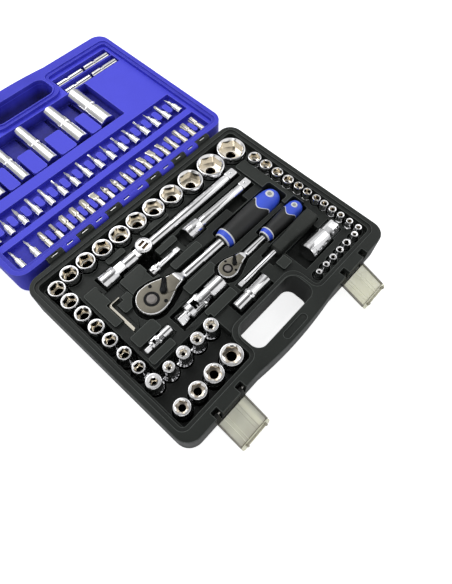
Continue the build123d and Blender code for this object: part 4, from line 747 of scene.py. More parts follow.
# The handle's finishes by number: black and blue rubber, white lines and beads, and the hanging eye's grey.
black, blue, white, grey = range(4)
grip_finishes = [
    soft_rubber("grip_black", (0.0085, 0.009, 0.009), 0.56, 0.12),
    soft_rubber("grip_blue", (0.040, 0.095, 0.74), 0.42, 0.1),
    soft_rubber("grip_white", (0.78, 0.79, 0.82), 0.5, 0.0),
    soft_rubber("eye_grey", (0.30, 0.31, 0.27), 0.6, 0.0),
]
# The head's outline is drawn for the large ratchet, and the small one takes it in proportion.
head_unit = 20.8
head_end, plate_end, fall_end = 37.0, 46.0, 42.5
neck_start, blend_start, blend_end, neck_end = 28.0, 43.0, 56.0, 57.0
plate_inset = 1.75
pear_places = (0.0, 6.0, 12.0, 18.0, 24.0, 30.0, 36.0, 42.0, 47.0, 52.0)
pear_half_widths = (20.8, 20.6, 19.5, 17.6, 15.2, 12.6, 10.3, 9.0, 8.3, 7.9)
facet_points = ((29.4, -13.0), (19.4, -7.9), (32.2, 11.5))


def smooth(value, low, high):
    """0 below low, 1 above high, an even rise between."""
    t = min(max((value - low) / (high - low), 0.0), 1.0)
    return t * t * (3 - 2 * t)


def pear_half_width(x):
    """Half the width of the pear head at this distance from the gear's centre."""
    return float(np.interp(x, pear_places, pear_half_widths))


def pear_outline(inset, end):
    """The pear head's outline, from its round front to this place at the neck, drawn in by inset."""
    radius = head_unit - inset
    around = np.linspace(math.pi, math.pi / 2, 22)
    front = [(radius * math.cos(a), radius * math.sin(a)) for a in around]
    half = front + [(x, pear_half_width(x) - inset) for x in np.linspace(1.5, end, 44)]
    return half + [(x, -w) for x, w in reversed(half[1:])]


def squared(a, power):
    """A direction's two shares on a ring that is round at power 2 and squarer above it."""
    c, d = math.cos(a), math.sin(a)
    reach = (abs(c) ** power + abs(d) ** power) ** (-1 / power)
    return reach * c, reach * d


def ratchet_place(r):
    """Takes the ratchet's own millimetres (gear centre at 0, 0) to the case."""
    return Matrix.Translation((r["x"], r["y"], 0.0)) @ Matrix.Rotation(math.radians(r["turn"]), 4, "Z")


def ratchet_body(r):
    """Head with a rolled edge, a neck that goes from the head's section to a round one, and the shank."""
    k = r["head"] / head_unit
    top, low, axis, shank = r["cover_top"], r["head_bottom"], r["axis_z"], r["shank"] / 2
    neck = shank * 1.14
    shape = Shape()
    stack = (
        (low, 1.6), (low + 0.35, 0.75), (low + 1.1, 0.2), (low + 2.0, 0.0), (top - 3.2, 0.0),
        (top - 2.4, 0.12), (top - 1.5, 0.5), (top - 0.8, 1.0), (top - 0.35, 1.35),
    )
    shape.skin([[(x * k, y * k, z) for x, y in pear_outline(inset / k, head_end)] for z, inset in stack])
    rings = []
    for x in np.linspace(neck_start, neck_end, 30):
        t = smooth(x, blend_start, blend_end)
        wide = pear_half_width(x) * k * (1 - t) + neck * t
        high = (top - 0.45) * (1 - t) + (axis + neck) * t
        floor = (low + 0.6) * (1 - t) + (axis - neck) * t
        ring = []
        for a in angles(64):
            across, up = squared(a, 2.0 + 7.0 * (1 - t) ** 2)
            ring.append((x * k, wide * across, (high + floor) / 2 + (high - floor) / 2 * up))
        rings.append(ring)
    shape.skin(rings)
    start = r["grip_start"]
    joined = (neck_end - 2.0) * k
    runs = ((joined, neck * 0.99), (joined + 2.5 * k, neck), (start - 0.5, shank), (start + 3, shank))
    shape.skin([[(x, y, axis + z) for _, y, z in circle_ring(x, radius, 64)] for x, radius in runs])
    return shape


def ratchet_plate(r):
    """Satin plate that covers the head, with the wedge by the lever and towards the neck a touch lower."""
    k = r["head"] / head_unit
    top = r["cover_top"] - 0.15
    a, b, c = ((x * k, y * k) for x, y in facet_points)
    edge = [(x * k, y * k) for x, y in pear_outline(plate_inset / k, plate_end)]
    rim = [p for p in edge if p[0] <= (29.0 if p[1] < 0 else 32.0) * k]
    split = next(i for i, p in enumerate(rim) if p[1] < 0)
    flat = rim[:split] + [c, b, a] + rim[split:]
    shape = Shape()
    layers = ((1.0, top - 1.6), (1.0, top + 0.1), (0.6, top + 0.1), (0.0, top + 0.1))
    shape.skin([[(x * f, y * f, z) for x, y in flat] for f, z in layers], start_cap=False, end_cap=False)
    far = fall_end * k
    upper = [p for p in edge if c[0] + 0.4 < p[0] < far and p[1] > 0]
    lower = [p for p in edge if a[0] + 0.4 < p[0] < far and p[1] < 0]
    fall = [(x, y, top - 0.02 - 0.008 * (x - b[0])) for x, y in [a, b, c] + upper + lower]
    shape.skin([[(x, y, z - 1.2) for x, y, z in fall], fall])
    return shape


def lathe(profile, axis="z", centre=(0.0, 0.0), count=48, finish=0, shape=None, ends=True):
    """A turned form: profile points are (radius, distance along the axis), from one end to the other."""
    shape = shape or Shape()
    rings = []
    for radius, along in profile:
        ring = circle_ring(along, max(radius, 0.004), count)
        if axis == "z":
            rings.append([(centre[0] + y, centre[1] + z, a) for a, y, z in ring])
        else:
            rings.append([(a, centre[0] + y, centre[1] + z) for a, y, z in ring])
    shape.skin(rings, finish, start_cap=ends, end_cap=ends)
    return shape


lever_turn = 44.0
lever_place = (18.0, -2.0)
lever_outline = (
    (-4.2, 2.4), (-2.6, 4.0), (0.0, 4.8), (3.0, 4.4), (7.0, 3.7), (12.0, 3.3), (16.4, 3.0), (18.4, 2.2),
)
# Half of the thumb piece's section, from its edge to its middle ridge, as shares of its width and height.
thumb_half = (
    (-1.0, 0.0), (-1.0, 0.55), (-0.86, 0.9), (-0.66, 1.0), (-0.5, 0.62), (-0.3, 0.62), (-0.18, 0.95),
)
thumb_section = thumb_half + tuple((-t, up) for t, up in reversed(thumb_half))


def ratchet_lever(r):
    """Reversing lever: a domed hub and a thumb piece with three ridges that narrows to its tip."""
    k = r["head"] / head_unit
    shape = Shape()
    rings = []
    for s, w in lever_outline:
        high = 2.0 - 0.5 * smooth(s, 8.0, 20.0)
        flat = smooth(s, 3.0, 6.0)
        ring = []
        for t, up in thumb_section:
            rise = up * flat + min(up * 3.0, 1.0) * 0.92 * (1 - flat)
            ring.append((s * k, t * w * k, rise * high))
        rings.append(ring)
    shape.skin(rings)
    lathe([(4.4 * k, 0.0), (4.4 * k, 1.7), (3.9 * k, 2.05), (1.8 * k, 2.1), (0.0, 2.1)], shape=shape)
    hub = Matrix.Translation((lever_place[0] * k, lever_place[1] * k, r["cover_top"] + 0.1))
    shape.move(hub @ Matrix.Rotation(math.radians(lever_turn), 4, "Z"))
    return shape


def grip_radius(r, x):
    """Radius of the handle along it, from the collar's mouth to the rounded end."""
    start, end = r["grip_start"] + r["collar_length"], r["end_x"]
    g, w, c = r["grip"], r["waist"], r["collar"]
    shares = (0.0, 0.06, 0.16, 0.30, 0.46, 0.62, 0.78, 0.86, 0.92, 0.96, 0.985, 1.0)
    radii = [c * 0.93, c * 0.925, w, (w + g) * 0.497, g * 0.985, g]
    radii += [g * share for share in (0.98, 0.93, 0.82, 0.67, 0.47, 0.10)]
    return float(np.interp(x, [start + (end - start) * share for share in shares], radii))


wave_turn = math.radians(100.0)
# How far the wave lies before the cap, and how deep it swings, as shares of the grip's radius.
wave_back, wave_swing = 0.83, 0.395
eye_flat = 0.90
line_rise = 0.12


def wave(a):
    """The wavy edge between the handle's black and blue rubber: three waves round it."""
    return math.cos(3 * (a - wave_turn))


def ratchet_grip(r, first, last, wave_at, wave_by):
    """The handle's rubber: black up to the wave, then a white line that stands up a little, then blue."""
    shape = Shape()
    stations = list(np.linspace(first, wave_at - wave_by * 1.8, 26)) + [wave_at, wave_at + r["line"]]
    stations += list(np.linspace(wave_at + wave_by * 1.9, last, 5))
    marks = [black] * 26 + [white] + [blue] * 5
    rings = []
    for i, x in enumerate(stations):
        on_line = white in marks[max(i - 1, 0) : i + 1]
        ring = []
        for a in angles(72):
            at = x - wave_by * wave(a) * on_line
            radius = grip_radius(r, at) + (line_rise if on_line else 0.0)
            ring.append((at, radius * math.cos(a), r["axis_z"] + radius * math.sin(a)))
        rings.append(ring)
    for i, mark in enumerate(marks):
        shape.skin(rings[i : i + 2], mark, start_cap=(i == 0), end_cap=(i == len(marks) - 1))
    return shape


def ratchet_cap(r, first, last):
    """The handle's blue rounded end, flattened round a hanging eye with a white bead and a grey bottom."""
    shape = Shape()
    axis, grip, eye_x, eye = r["axis_z"], r["grip"], r["eye_x"], r["eye"]
    stations = list(np.linspace(first, last - grip * 0.3, 26))
    stations += [last - grip * 0.3 * v for v in (0.8, 0.62, 0.46, 0.32, 0.2, 0.1, 0.03, 0.0)]
    rings = []
    for x in stations:
        ring = []
        for a in angles(72):
            radius = grip_radius(r, x)
            y, z = radius * math.cos(a), radius * math.sin(a)
            if math.hypot(x - eye_x, y) < eye * 0.9 and z > 0:
                z = min(z, grip * eye_flat)
            ring.append((x, y, axis + z))
        rings.append(ring)
    for i in range(len(rings) - 1):
        shape.skin(rings[i : i + 2], blue, start_cap=(i == 0), end_cap=(i == len(rings) - 2))
    high = axis + grip * eye_flat
    bead = (
        (eye, high - grip * 0.16), (eye * 0.98, high + 0.45), (eye * 0.90, high + 1.05),
        (eye * 0.66, high + 1.1), (eye * 0.55, high + 0.8), (eye * 0.52, high + 0.1),
    )
    bottom = ((eye * 0.56, high + 0.15), (eye * 0.3, high + 0.3), (0.0, high + 0.35))
    lathe(bead, centre=(eye_x, 0.0), finish=white, shape=shape, ends=False)
    lathe(bottom, centre=(eye_x, 0.0), finish=grey, shape=shape, ends=False)
    return shape


def ratchet_collar(r):
    """Flared blue collar with a white bead at each end."""
    x0, length, c = r["grip_start"], r["collar_length"], r["collar"]
    s = r["shank"] / 2
    points = (
        (s * 0.9, x0 + 0.6), (c * 0.72, x0 + 0.1), (c * 0.80, x0 + 0.25), (c * 0.835, x0 + 1.3),
        (c * 0.84, x0 + 1.9), (c * 0.93, x0 + length * 0.40), (c * 0.985, x0 + length * 0.72),
        (c * 1.02, x0 + length * 0.78), (c * 1.01, x0 + length * 0.88), (c * 0.93, x0 + length),
        (s * 0.9, x0 + length),
    )
    shape = Shape()
    for finish, first, last in ((black, 0, 1), (white, 1, 4), (blue, 4, 6), (white, 6, 8), (black, 8, 10)):
        lathe(points[first : last + 1], "x", (0.0, r["axis_z"]), 64, finish, shape, ends=False)
    return shape


def ratchet_screws(name, top):
    """The two screw heads that hold the cover, each with a round hollow for the key."""
    low, high = ([c / MM for c in corner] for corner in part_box(f"{name}_screws"))
    radius = (high[0] - low[0]) / 2
    profile = (
        (radius, top - 0.6), (radius, top + 0.1), (radius * 0.93, top + 0.22), (radius * 0.50, top + 0.26),
        (radius * 0.44, top + 0.14), (radius * 0.40, top + 0.05), (0.0, top + 0.04),
    )
    heads = Shape()
    for y in (low[1] + radius, high[1] - radius):
        lathe(profile, centre=((low[0] + high[0]) / 2, y), count=24, shape=heads, ends=False)
    return heads


def ratchet_button(knob, rim):
    """The release button: a stem below a bevelled and slightly dished top."""
    return lathe([
        (1.5, rim - 7.0), (1.5, rim - 3.0), (knob, rim - 3.0), (knob, rim - 0.7), (knob - 0.6, rim - 0.15),
        (knob - 1.0, rim), (knob * 0.5, rim - 0.12), (0.0, rim - 0.16),
    ])


ratchets = (
    dict(
        name="big_ratchet", body="ratchet_large", x=-92.3, y=16.2, turn=-0.7, head=20.8, shank=13.6,
        cover_top=43.3, head_bottom=20.5, axis_z=29.8, grip_start=126.0, collar=14.6, collar_length=12.0,
        grip=15.7, waist=13.9, end_x=239.0, cap_length=27.0, eye_x=222.5, eye=6.2, line=1.5, button=6.8,
    ),
    dict(
        name="small_ratchet", body="ratchet_small", x=4.1, y=-22.4, turn=-0.4, head=13.4, shank=8.6,
        cover_top=41.6, head_bottom=26.4, axis_z=33.8, grip_start=72.0, collar=10.2, collar_length=10.5,
        grip=11.7, waist=10.1, end_x=148.0, cap_length=18.0, eye_x=134.6, eye=4.6, line=1.2, button=4.5,
    ),
)


def ratchet_piece(r, shape, made, finishes, node, slot, angle=38.0, rounding=None, part=""):
    """Makes one piece of a ratchet in its place, riding on the handle's body or on one that moves in it."""
    body = r["body"] + part
    node = f"{r['name']}_{node}"
    shape.piece(f"{r['name']}_{made}", finishes, body, [node], slot, angle, rounding, ratchet_place(r))


gear_edge, pawl_edge = 0.25, 0.2
for r in ratchets:
    name, body, top = r["name"], r["body"], r["cover_top"]
    ratchet_piece(r, ratchet_body(r), "forging", [CHROME], "head", "chrome", 42.0)
    ratchet_piece(r, ratchet_plate(r), "plate", [SATIN_PLATE], "cover", "satin_steel", 30.0, 0.22)
    rounded_copy(f"{name}_gear", f"{name}_gear_part", [BLACKED], gear_edge, f"{body}_gear")
    rounded_copy(f"{name}_pawl", f"{name}_pawl_part", [BLACKED], pawl_edge, body)
    screws = ratchet_screws(name, top)
    screws.piece(f"{name}_cover_screws", [BLACKED], body, [f"{name}_screws"], "dark_steel", 30.0)
    button = ratchet_button(r["button"], top + 0.9)
    ratchet_piece(r, button, "release", [SATIN_BUTTON], "button", "satin_steel", part="_button")
    ratchet_piece(r, ratchet_lever(r), "switch", [BLACKED], "lever", "dark_steel", 40.0, part="_lever")
    ratchet_piece(r, ratchet_collar(r), "ferrule", grip_finishes, "collar", "grip_blue", 50.0)
    grip_start = r["grip_start"] + r["collar_length"]
    cap_start = r["end_x"] - r["cap_length"]
    wave_at, wave_by = cap_start - r["grip"] * wave_back, r["grip"] * wave_swing
    grip = ratchet_grip(r, grip_start, cap_start, wave_at, wave_by)
    ratchet_piece(r, grip, "handle", grip_finishes, "grip", "grip_rubber", 60.0)
    ratchet_piece(r, ratchet_cap(r, cap_start, r["end_x"]), "end", grip_finishes, "cap", "grip_blue", 60.0)

# ---- Standing sockets in the base ----
# Six sided and star sockets that stand mouth up in their pockets, largest by the hinge, with one bit adaptor.
# Turned, broached and chromed steel: a bevelled mouth, the bore below it and a square drive hole, painted
# dark deep in as painted shade.
# The slim ones stand on a wider foot.
CHROME_TURNED = chrome("chrome_turned", (0.80, 0.80, 0.81), 0.12, hollow=(0.82, 0.765, 0.665))
half_drive, quarter_drive = 12.7, 6.35
half_family = dict(top=45.5, height=38.0, drive=half_drive, smallest=22.0, nose=20.0)
large_family = dict(half_family, height=42.0)
quarter_family = dict(top=44.5, height=25.0, drive=quarter_drive, smallest=12.0, nose=10.0)


def star_ring(along, flats, turn):
    """Six round lobes: the outline of a star bore, given by its tip circle."""
    ring = []
    for a in angles(48):
        lobe = 0.5 + 0.5 * math.cos(6 * (a - turn))
        reach = flats / 2 * (0.78 + 0.22 * lobe**0.8)
        ring.append((along, reach * math.cos(a), reach * math.sin(a)))
    return ring


def standing_socket(shape, family, x, y, body, size, star=False, turn=0.0, deep=0.34, throat=0.42):
    """One socket: turned outside, bevelled mouth, a broached bore as deep as this share of its height,
    and a square drive hole below a throat of this share of its size."""
    height, drive = family["height"], family["drive"]
    r, foot = body / 2, max(body, family["smallest"]) / 2
    edge = min(0.9, r * 0.09)
    turned = [(0.0, drive * 0.60), (0.0, foot - edge), (edge * 0.7, foot)]
    if foot > r:
        step = height - family["nose"]
        turned += [(step - (foot - r), foot), (step, r + 0.15), (step + 0.4, r)]
    else:
        groove = r - 0.35
        turned += [(height * 0.52, r), (height * 0.53, groove), (height * 0.56, groove), (height * 0.57, r)]
    turned += [(height - edge * 1.1, r), (height - edge * 0.45, r - edge * 0.25)]
    turned += [(height - edge * 0.1, r - edge * 0.75), (height, r - edge * 1.3)]
    bore_corner = size / 2 if star else size / math.sqrt(3)
    wall = r - bore_corner
    lip = min(size / 2 * (1.0 if star else 1.155) + min(wall * 0.28, 1.2), r - edge * 1.5)
    turned += [(height, lip)]

    def bore(along):
        return star_ring(along, size, turn) if star else sided_ring(along, size, 6, turn=turn, soft=0.02)

    floor = height - height * deep
    inside = [
        (circle_ring(height - 0.12, lip - 0.12), 0.05),
        (bore(height - 0.4 - (lip - size / 2) * 0.55), 0.10),
        (bore(height - 2.2), 0.22),
    ]
    if star and size > 13:
        inside += [
            (bore(height - 3.4), 0.35),
            (circle_ring(height - 3.8, size * 0.49), 0.84),
            (circle_ring(floor + 0.6, size * 0.46), 0.87),
        ]
    else:
        inside += [(bore(height - height * deep * 0.55), 0.50), (bore(floor), 0.55)]
    hole = min(drive * 1.02, size * 0.8)
    neck = min(hole * 0.56, size * throat)
    # From 0.75 up the values paint the bore's floor and drive hole dark as painted shade.
    shade = 0.87 if star else 0.55
    inside += [
        (circle_ring(floor - 0.4, size * (throat + 0.02)), shade),
        (circle_ring(floor - 0.9, neck), shade + 0.05),
        (circle_ring(floor - 2.4, neck), 0.9),
        (sided_ring(floor - 3.0, hole, 4, turn=math.pi / 4, soft=0.03), 1.0),
        (sided_ring(1.0, hole, 4, turn=math.pi / 4, soft=0.03), 1.0),
        (circle_ring(0.0, drive * 0.60), 0.6),
    ]
    rings = [circle_ring(*level) for level in turned] + [ring for ring, _ in inside]
    tint = [0.0] * len(turned) + [value for _, value in inside]
    z = family["top"] - height
    stood = [[(x + a, y + b, z + along) for along, a, b in ring] for ring in rings]
    shape.skin(stood, inner=tint, closed=True)


def row_of(sizes, start, sign, gap):
    """Centres along X of sockets that stand side by side with an even gap: (x, size, body)."""
    places, x = [], start
    for i, (size, body) in enumerate(sizes):
        if i:
            x += sign * ((sizes[i - 1][1] + body) / 2 + gap)
        places.append((x, size, body))
    return places


def any_turn():
    """How far a socket happens to be turned in its pocket."""
    return random.uniform(0, 1)


def socket_set(shape, name, body, node):
    """Makes the piece for one set of sockets."""
    shape.piece(name, [CHROME_TURNED], body, [node], "chrome", 30.0)


# Sockets as (size across the flats or the star's tips, diameter of the body).
hinge_sizes = (
    (32, 42.0), (30, 40.0), (27, 36.0), (24, 32.0), (22, 30.0),
    (21, 28.0), (20, 28.0), (19, 26.0), (18, 25.0), (17, 24.0),
)
side_sizes = ((16, 22.4), (15, 22.0), (14, 20.7), (13, 20.0), (12, 18.8), (11, 17.2), (10, 15.9))
star_sizes = ((8.6, 14.4), (9.8, 16.8), (11.0, 16.9), (12.6, 18.8))
front_star_sizes = ((15.4, 20.6), (17.0, 22.0), (18.8, 24.2), (22.4, 28.4))
small_star_sizes = ((7.5, 10.6), (6.2, 9.6), (5.7, 9.2), (4.7, 8.4), (3.9, 7.6))
# Those along the side wall have their place along Y as well.
side_wall_sockets = (
    (14, 19.5, 72.0), (13, 17.8, 51.3), (12, 16.4, 30.6), (11, 15.8, 11.0),
    (10, 13.2, -6.8), (9, 12.4, -22.2), (8, 11.5, -38.1), (7, 11.2, -51.6),
    (6, 10.7, -65.6), (5.5, 9.8, -79.6), (5, 9.3, -94.4), (4.5, 9.2, -108.9),
)
narrow_bore = dict(deep=0.19, throat=0.22)
wide_bore = dict(deep=0.17, throat=0.27)
hinge_row_back = 127.9
hinge_row_start, hinge_row_gap = 153.9, 1.6
side_x, side_y, side_pitch = -162.2, 110.4, 24.3
star_y, star_pitch = -60.5, 23.5
front_star_x, front_star_y, front_star_gap = -160.9, -103.5, 3.8
wall_x = 176.2
smallest_x, front_y = 157.5, -111.5
small_star_x, small_star_pitch = 139.4, 15.0

hinge_row = row_of(hinge_sizes, hinge_row_start, -1, hinge_row_gap)
random.seed(11)
shape = Shape()
for x, size, body in hinge_row[:3]:
    standing_socket(shape, large_family, x, hinge_row_back - body / 2, body, size, turn=any_turn())
socket_set(shape, "large_sockets_row", "sockets_big", "big_sockets")
shape = Shape()
for x, size, body in hinge_row[3:]:
    standing_socket(shape, half_family, x, hinge_row_back - body / 2, body, size, turn=any_turn())
for i, (size, body) in enumerate(side_sizes):
    standing_socket(shape, half_family, side_x, side_y - side_pitch * i, body, size, turn=any_turn())
socket_set(shape, "half_inch_sockets_set", "sockets_half", "half_inch_sockets")
shape = Shape()
for i, (size, body) in enumerate(star_sizes):
    x = side_x + star_pitch * (i + 1)
    standing_socket(shape, half_family, x, star_y, body, size, star=True, turn=any_turn(), **narrow_bore)
for x, size, body in row_of(front_star_sizes, front_star_x, 1, front_star_gap):
    standing_socket(shape, half_family, x, front_star_y, body, size, star=True, turn=any_turn(), **wide_bore)
socket_set(shape, "star_sockets_set", "sockets_star", "star_sockets")
shape = Shape()
standing_socket(shape, half_family, side_x, star_y + 0.8, 19.0, 8.0, turn=0.4)
socket_set(shape, "bit_adaptor_turned", "adaptor", "bit_adaptor")
shape = Shape()
for size, body, y in side_wall_sockets:
    x = wall_x - max(body, quarter_family["smallest"]) / 2
    standing_socket(shape, quarter_family, x, y, body, size, turn=any_turn())
standing_socket(shape, quarter_family, smallest_x, front_y, 9.1, 4.0)
socket_set(shape, "quarter_inch_sockets_set", "sockets_quarter", "quarter_inch_sockets")
shape = Shape()
for i, (size, body) in enumerate(small_star_sizes):
    x = small_star_x - small_star_pitch * i
    standing_socket(shape, quarter_family, x, front_y, body, size, star=True, turn=any_turn(), deep=0.4)
socket_set(shape, "small_star_sockets_set", "sockets_small_star", "small_star_sockets")

# ---- Bars, joints and plug sockets ----
# Extension bars with a socket end and a square tip, a sliding head on the longest, two universal joints
# and two long plug sockets. Turned from bar, with milled squares, and chromed.
# A section is given across its flats, and a round one by its radius: sides, turn, softness of the corners.
flat_sections = {"square": (4, math.pi / 4, 0.10), "on edge": (4, 0.0, 0.10), "hexagon": (6, 0.0, 0.02)}
half_axis, quarter_axis = 34.5, 38.5


def lying(shape, x0, y, z, *parts, inner=0.0):
    """A form along X from x0, in parts that each have a kind of section and its (distance, size) stations."""
    rings = []
    for kind, *stations in parts:
        for along, size in stations:
            if kind == "round":
                ring = circle_ring(x0 + along, size)
            else:
                sides, turn, soft = flat_sections[kind]
                ring = sided_ring(x0 + along, size, sides, turn=turn, soft=soft)
            rings.append([(a, y + b, z + c) for a, b, c in ring])
    shape.skin(rings, inner=inner)


def end_hole(shape, x, y, z, radius, kind, flats, depth, way=1):
    """A bevelled mouth at the end of a bar and the bore behind it, painted dark deep in as painted shade,
    which goes in this way.
    """
    mouth = ("round", (0.0, radius), (way * 0.05, radius - 0.2))
    bore = (kind, (way * 1.2, flats), (way * depth * 0.5, flats), (way * depth, flats * 0.98))
    lying(shape, x, y, z, mouth, bore, inner=[0.0, 0.1, 0.4, 0.9, 1.0])


def ball(shape, x, y, z, radius):
    """The spring ball in a square tip, its crown standing proud."""
    crown = ((0.92, 0.25), (0.6, 0.45), (0.0, 0.52))
    profile = [(radius, z - 0.2)] + [(radius * across, z + radius * up) for across, up in crown]
    lathe(profile, centre=(x, y), count=20, shape=shape, ends=False)


def half_inch_tip(start):
    """The square tip of a half inch bar, from this place along it."""
    stations = ((0.0, 12.5), (1.0, 12.7), (13.8, 12.7), (15.4, 11.8), (16.0, 10.2))
    return ("square", *((start + along, flats) for along, flats in stations))


socket_end = (
    "round", (0.0, 9.2), (0.1, 10.0), (0.6, 10.55), (1.1, 11.0), (7.6, 11.0), (7.9, 10.65), (9.0, 10.65),
    (9.3, 11.0), (22.6, 11.0), (23.6, 10.4),
)
half_inch_mouth = (9.25, "square", 12.9, 16.0)

long_x, long_y = -119.0, 79.6
shape = Shape()
lying(
    shape, long_x, long_y, half_axis, socket_end,
    ("round", (24.0, 9.0)),
    ("square", (24.2, 12.4), (25.0, 13.2), (36.6, 13.2)),
    ("round", (37.0, 7.9), (37.8, 8.5), (56.2, 8.5), (57.0, 7.9)),
    ("square", (57.2, 12.0), (58.0, 12.6), (63.4, 12.6)),
    ("round", (64.2, 6.5), (65.4, 6.8), (232.0, 6.8), (233.2, 6.5)),
    half_inch_tip(234.0),
)
end_hole(shape, long_x - 0.05, long_y, half_axis, *half_inch_mouth)
ball(shape, 122.5, long_y, half_axis + 6.3, 2.1)
shape.piece("long_bar_turned", [CHROME_TURNED], "long_bar", ["long_extension"], "chrome", 32.0)

head_x = -46.2
shape = Shape()
head_profile = (
    (8.2, 24.7), (10.8, 24.7), (11.7, 25.6), (11.7, 43.2), (11.3, 44.4), (10.5, 45.2), (9.7, 45.5),
    (9.0, 45.3), (8.5, 44.8), (8.2, 44.6), (6.9, 44.6), (6.75, 44.3), (6.7, 41.0),
)
lathe(head_profile, centre=(head_x, long_y), shape=shape, count=72, ends=False)
head_bars = Shape()
head_bars.box((-8.0, -1.2, 42.4), (8.0, 1.2, 44.9))
for hand in (-1, 1):
    low, high = sorted((hand * 5.3, hand * 7.4))
    head_bars.box((-6.6, low, 42.4), (6.6, high, 44.7))
    low, high = sorted((hand * 5.2, hand * 7.6))
    head_bars.box((low, -5.4, 42.4), (high, 5.4, 44.8))
head_bars.move(Matrix.Translation((head_x, long_y, 0.0)) @ Matrix.Rotation(math.radians(8.0), 4, "Z"))
shape.add(head_bars.points, head_bars.faces)
# The floor inside the ring is painted dark (inner 1.0) as painted shade.
floor_rings = [circle_ring(z, 6.9) for z in (41.5, 42.0)]
square_tip = ((8.7, 10.6), (10.0, half_drive), (25.2, half_drive))
tip_rings = [sided_ring(z, flats, 4, turn=math.pi / 4, soft=0.06) for z, flats in square_tip]
for rings, inner in ((floor_rings, 1.0), (tip_rings, 0.0)):
    shape.skin([[(head_x + a, long_y + b, z) for z, a, b in ring] for ring in rings], inner=inner)
shape.piece("sliding_head_ring", [CHROME_TURNED], "t_head", ["sliding_head"], "chrome", 32.0, 0.12)

short_x, short_y = 7.0, 53.9
shape = Shape()
lying(
    shape, short_x, short_y, half_axis, socket_end,
    ("round", (24.0, 8.8), (24.3, 7.2), (25.4, 7.0), (29.0, 7.5), (36.0, 7.7), (46.0, 7.2), (54.0, 6.8)),
    ("round", (107.0, 6.8), (108.2, 6.5)),
    half_inch_tip(109.0),
)
end_hole(shape, short_x - 0.05, short_y, half_axis, *half_inch_mouth)
ball(shape, 123.5, short_y, half_axis + 6.3, 2.1)
shape.piece("short_bar_turned", [CHROME_TURNED], "short_bar", ["short_extension"], "chrome", 32.0)

small_x, small_y = -66.8, 44.8
shape = Shape()
lying(
    shape, small_x, small_y, quarter_axis,
    ("round", (0.0, 5.0), (0.1, 5.4), (0.7, 6.0), (4.6, 6.0)),
    ("square", (4.8, 10.0), (8.6, 10.0)),
    ("round", (8.8, 6.0), (12.0, 6.0), (12.8, 5.2), (13.0, 4.4)),
    ("square", (14.0, 7.6), (17.5, 7.6)),
    ("round", (18.0, 4.0), (40.0, 4.0), (40.8, 3.5)),
    ("square", (41.0, 6.1), (41.6, 6.35), (48.9, 6.35), (49.7, 5.8), (50.0, 5.0)),
)
end_hole(shape, small_x - 0.05, small_y, quarter_axis, 5.05, "square", 6.5, 9.0)
ball(shape, -21.4, small_y, quarter_axis + 3.1, 1.1)
shape.piece("small_bar_turned", [CHROME_TURNED], "small_bar", ["small_extension"], "chrome", 32.0)


def joint_ear(shape, place, radius, inner, width, reach):
    """One ear of a yoke: flat inside, round outside like the barrel it grows from, with its pin's end.

    place takes (along, across, out from the axis) to the case.
    """
    outline = [(width * math.sin(a), width * math.cos(a)) for a in np.linspace(-math.pi, 0, 15)]
    outline += [(reach * 0.5, width), (reach, width), (reach, -width), (reach * 0.5, -width)]
    rings = []
    for inset, rise in ((0.0, None), (0.0, -0.7), (0.45, -0.1), (width * 0.5, 0.0)):
        k = max(1 - inset / width, 0.0)
        ring = []
        for s, t in outline:
            across = t * k
            crown = math.sqrt(max(radius * radius - across * across, 1.0))
            ring.append(place(s * k if s < 0 else s, across, inner if rise is None else crown + rise))
        rings.append(ring)
    shape.skin(rings)
    half = width * 0.50
    pin = ((half, radius - 0.9), (half, radius + 0.02), (width * 0.42, radius + 0.14), (0.05, radius - 0.1))
    shape.skin([[place(r * math.cos(a), r * math.sin(a), up) for a in angles(24)] for r, up in pin])


def joint_ears(shape, centre, y, z, way, upright, *sizes):
    """The two ears of a yoke, which reach this way along X, side by side or one above the other."""
    for hand in (-1, 1):

        def place(s, t, up):
            if upright:
                return (centre + way * s, y + t, z + hand * up)
            return (centre + way * s, y + hand * up, z + t)

        joint_ear(shape, place, *sizes)


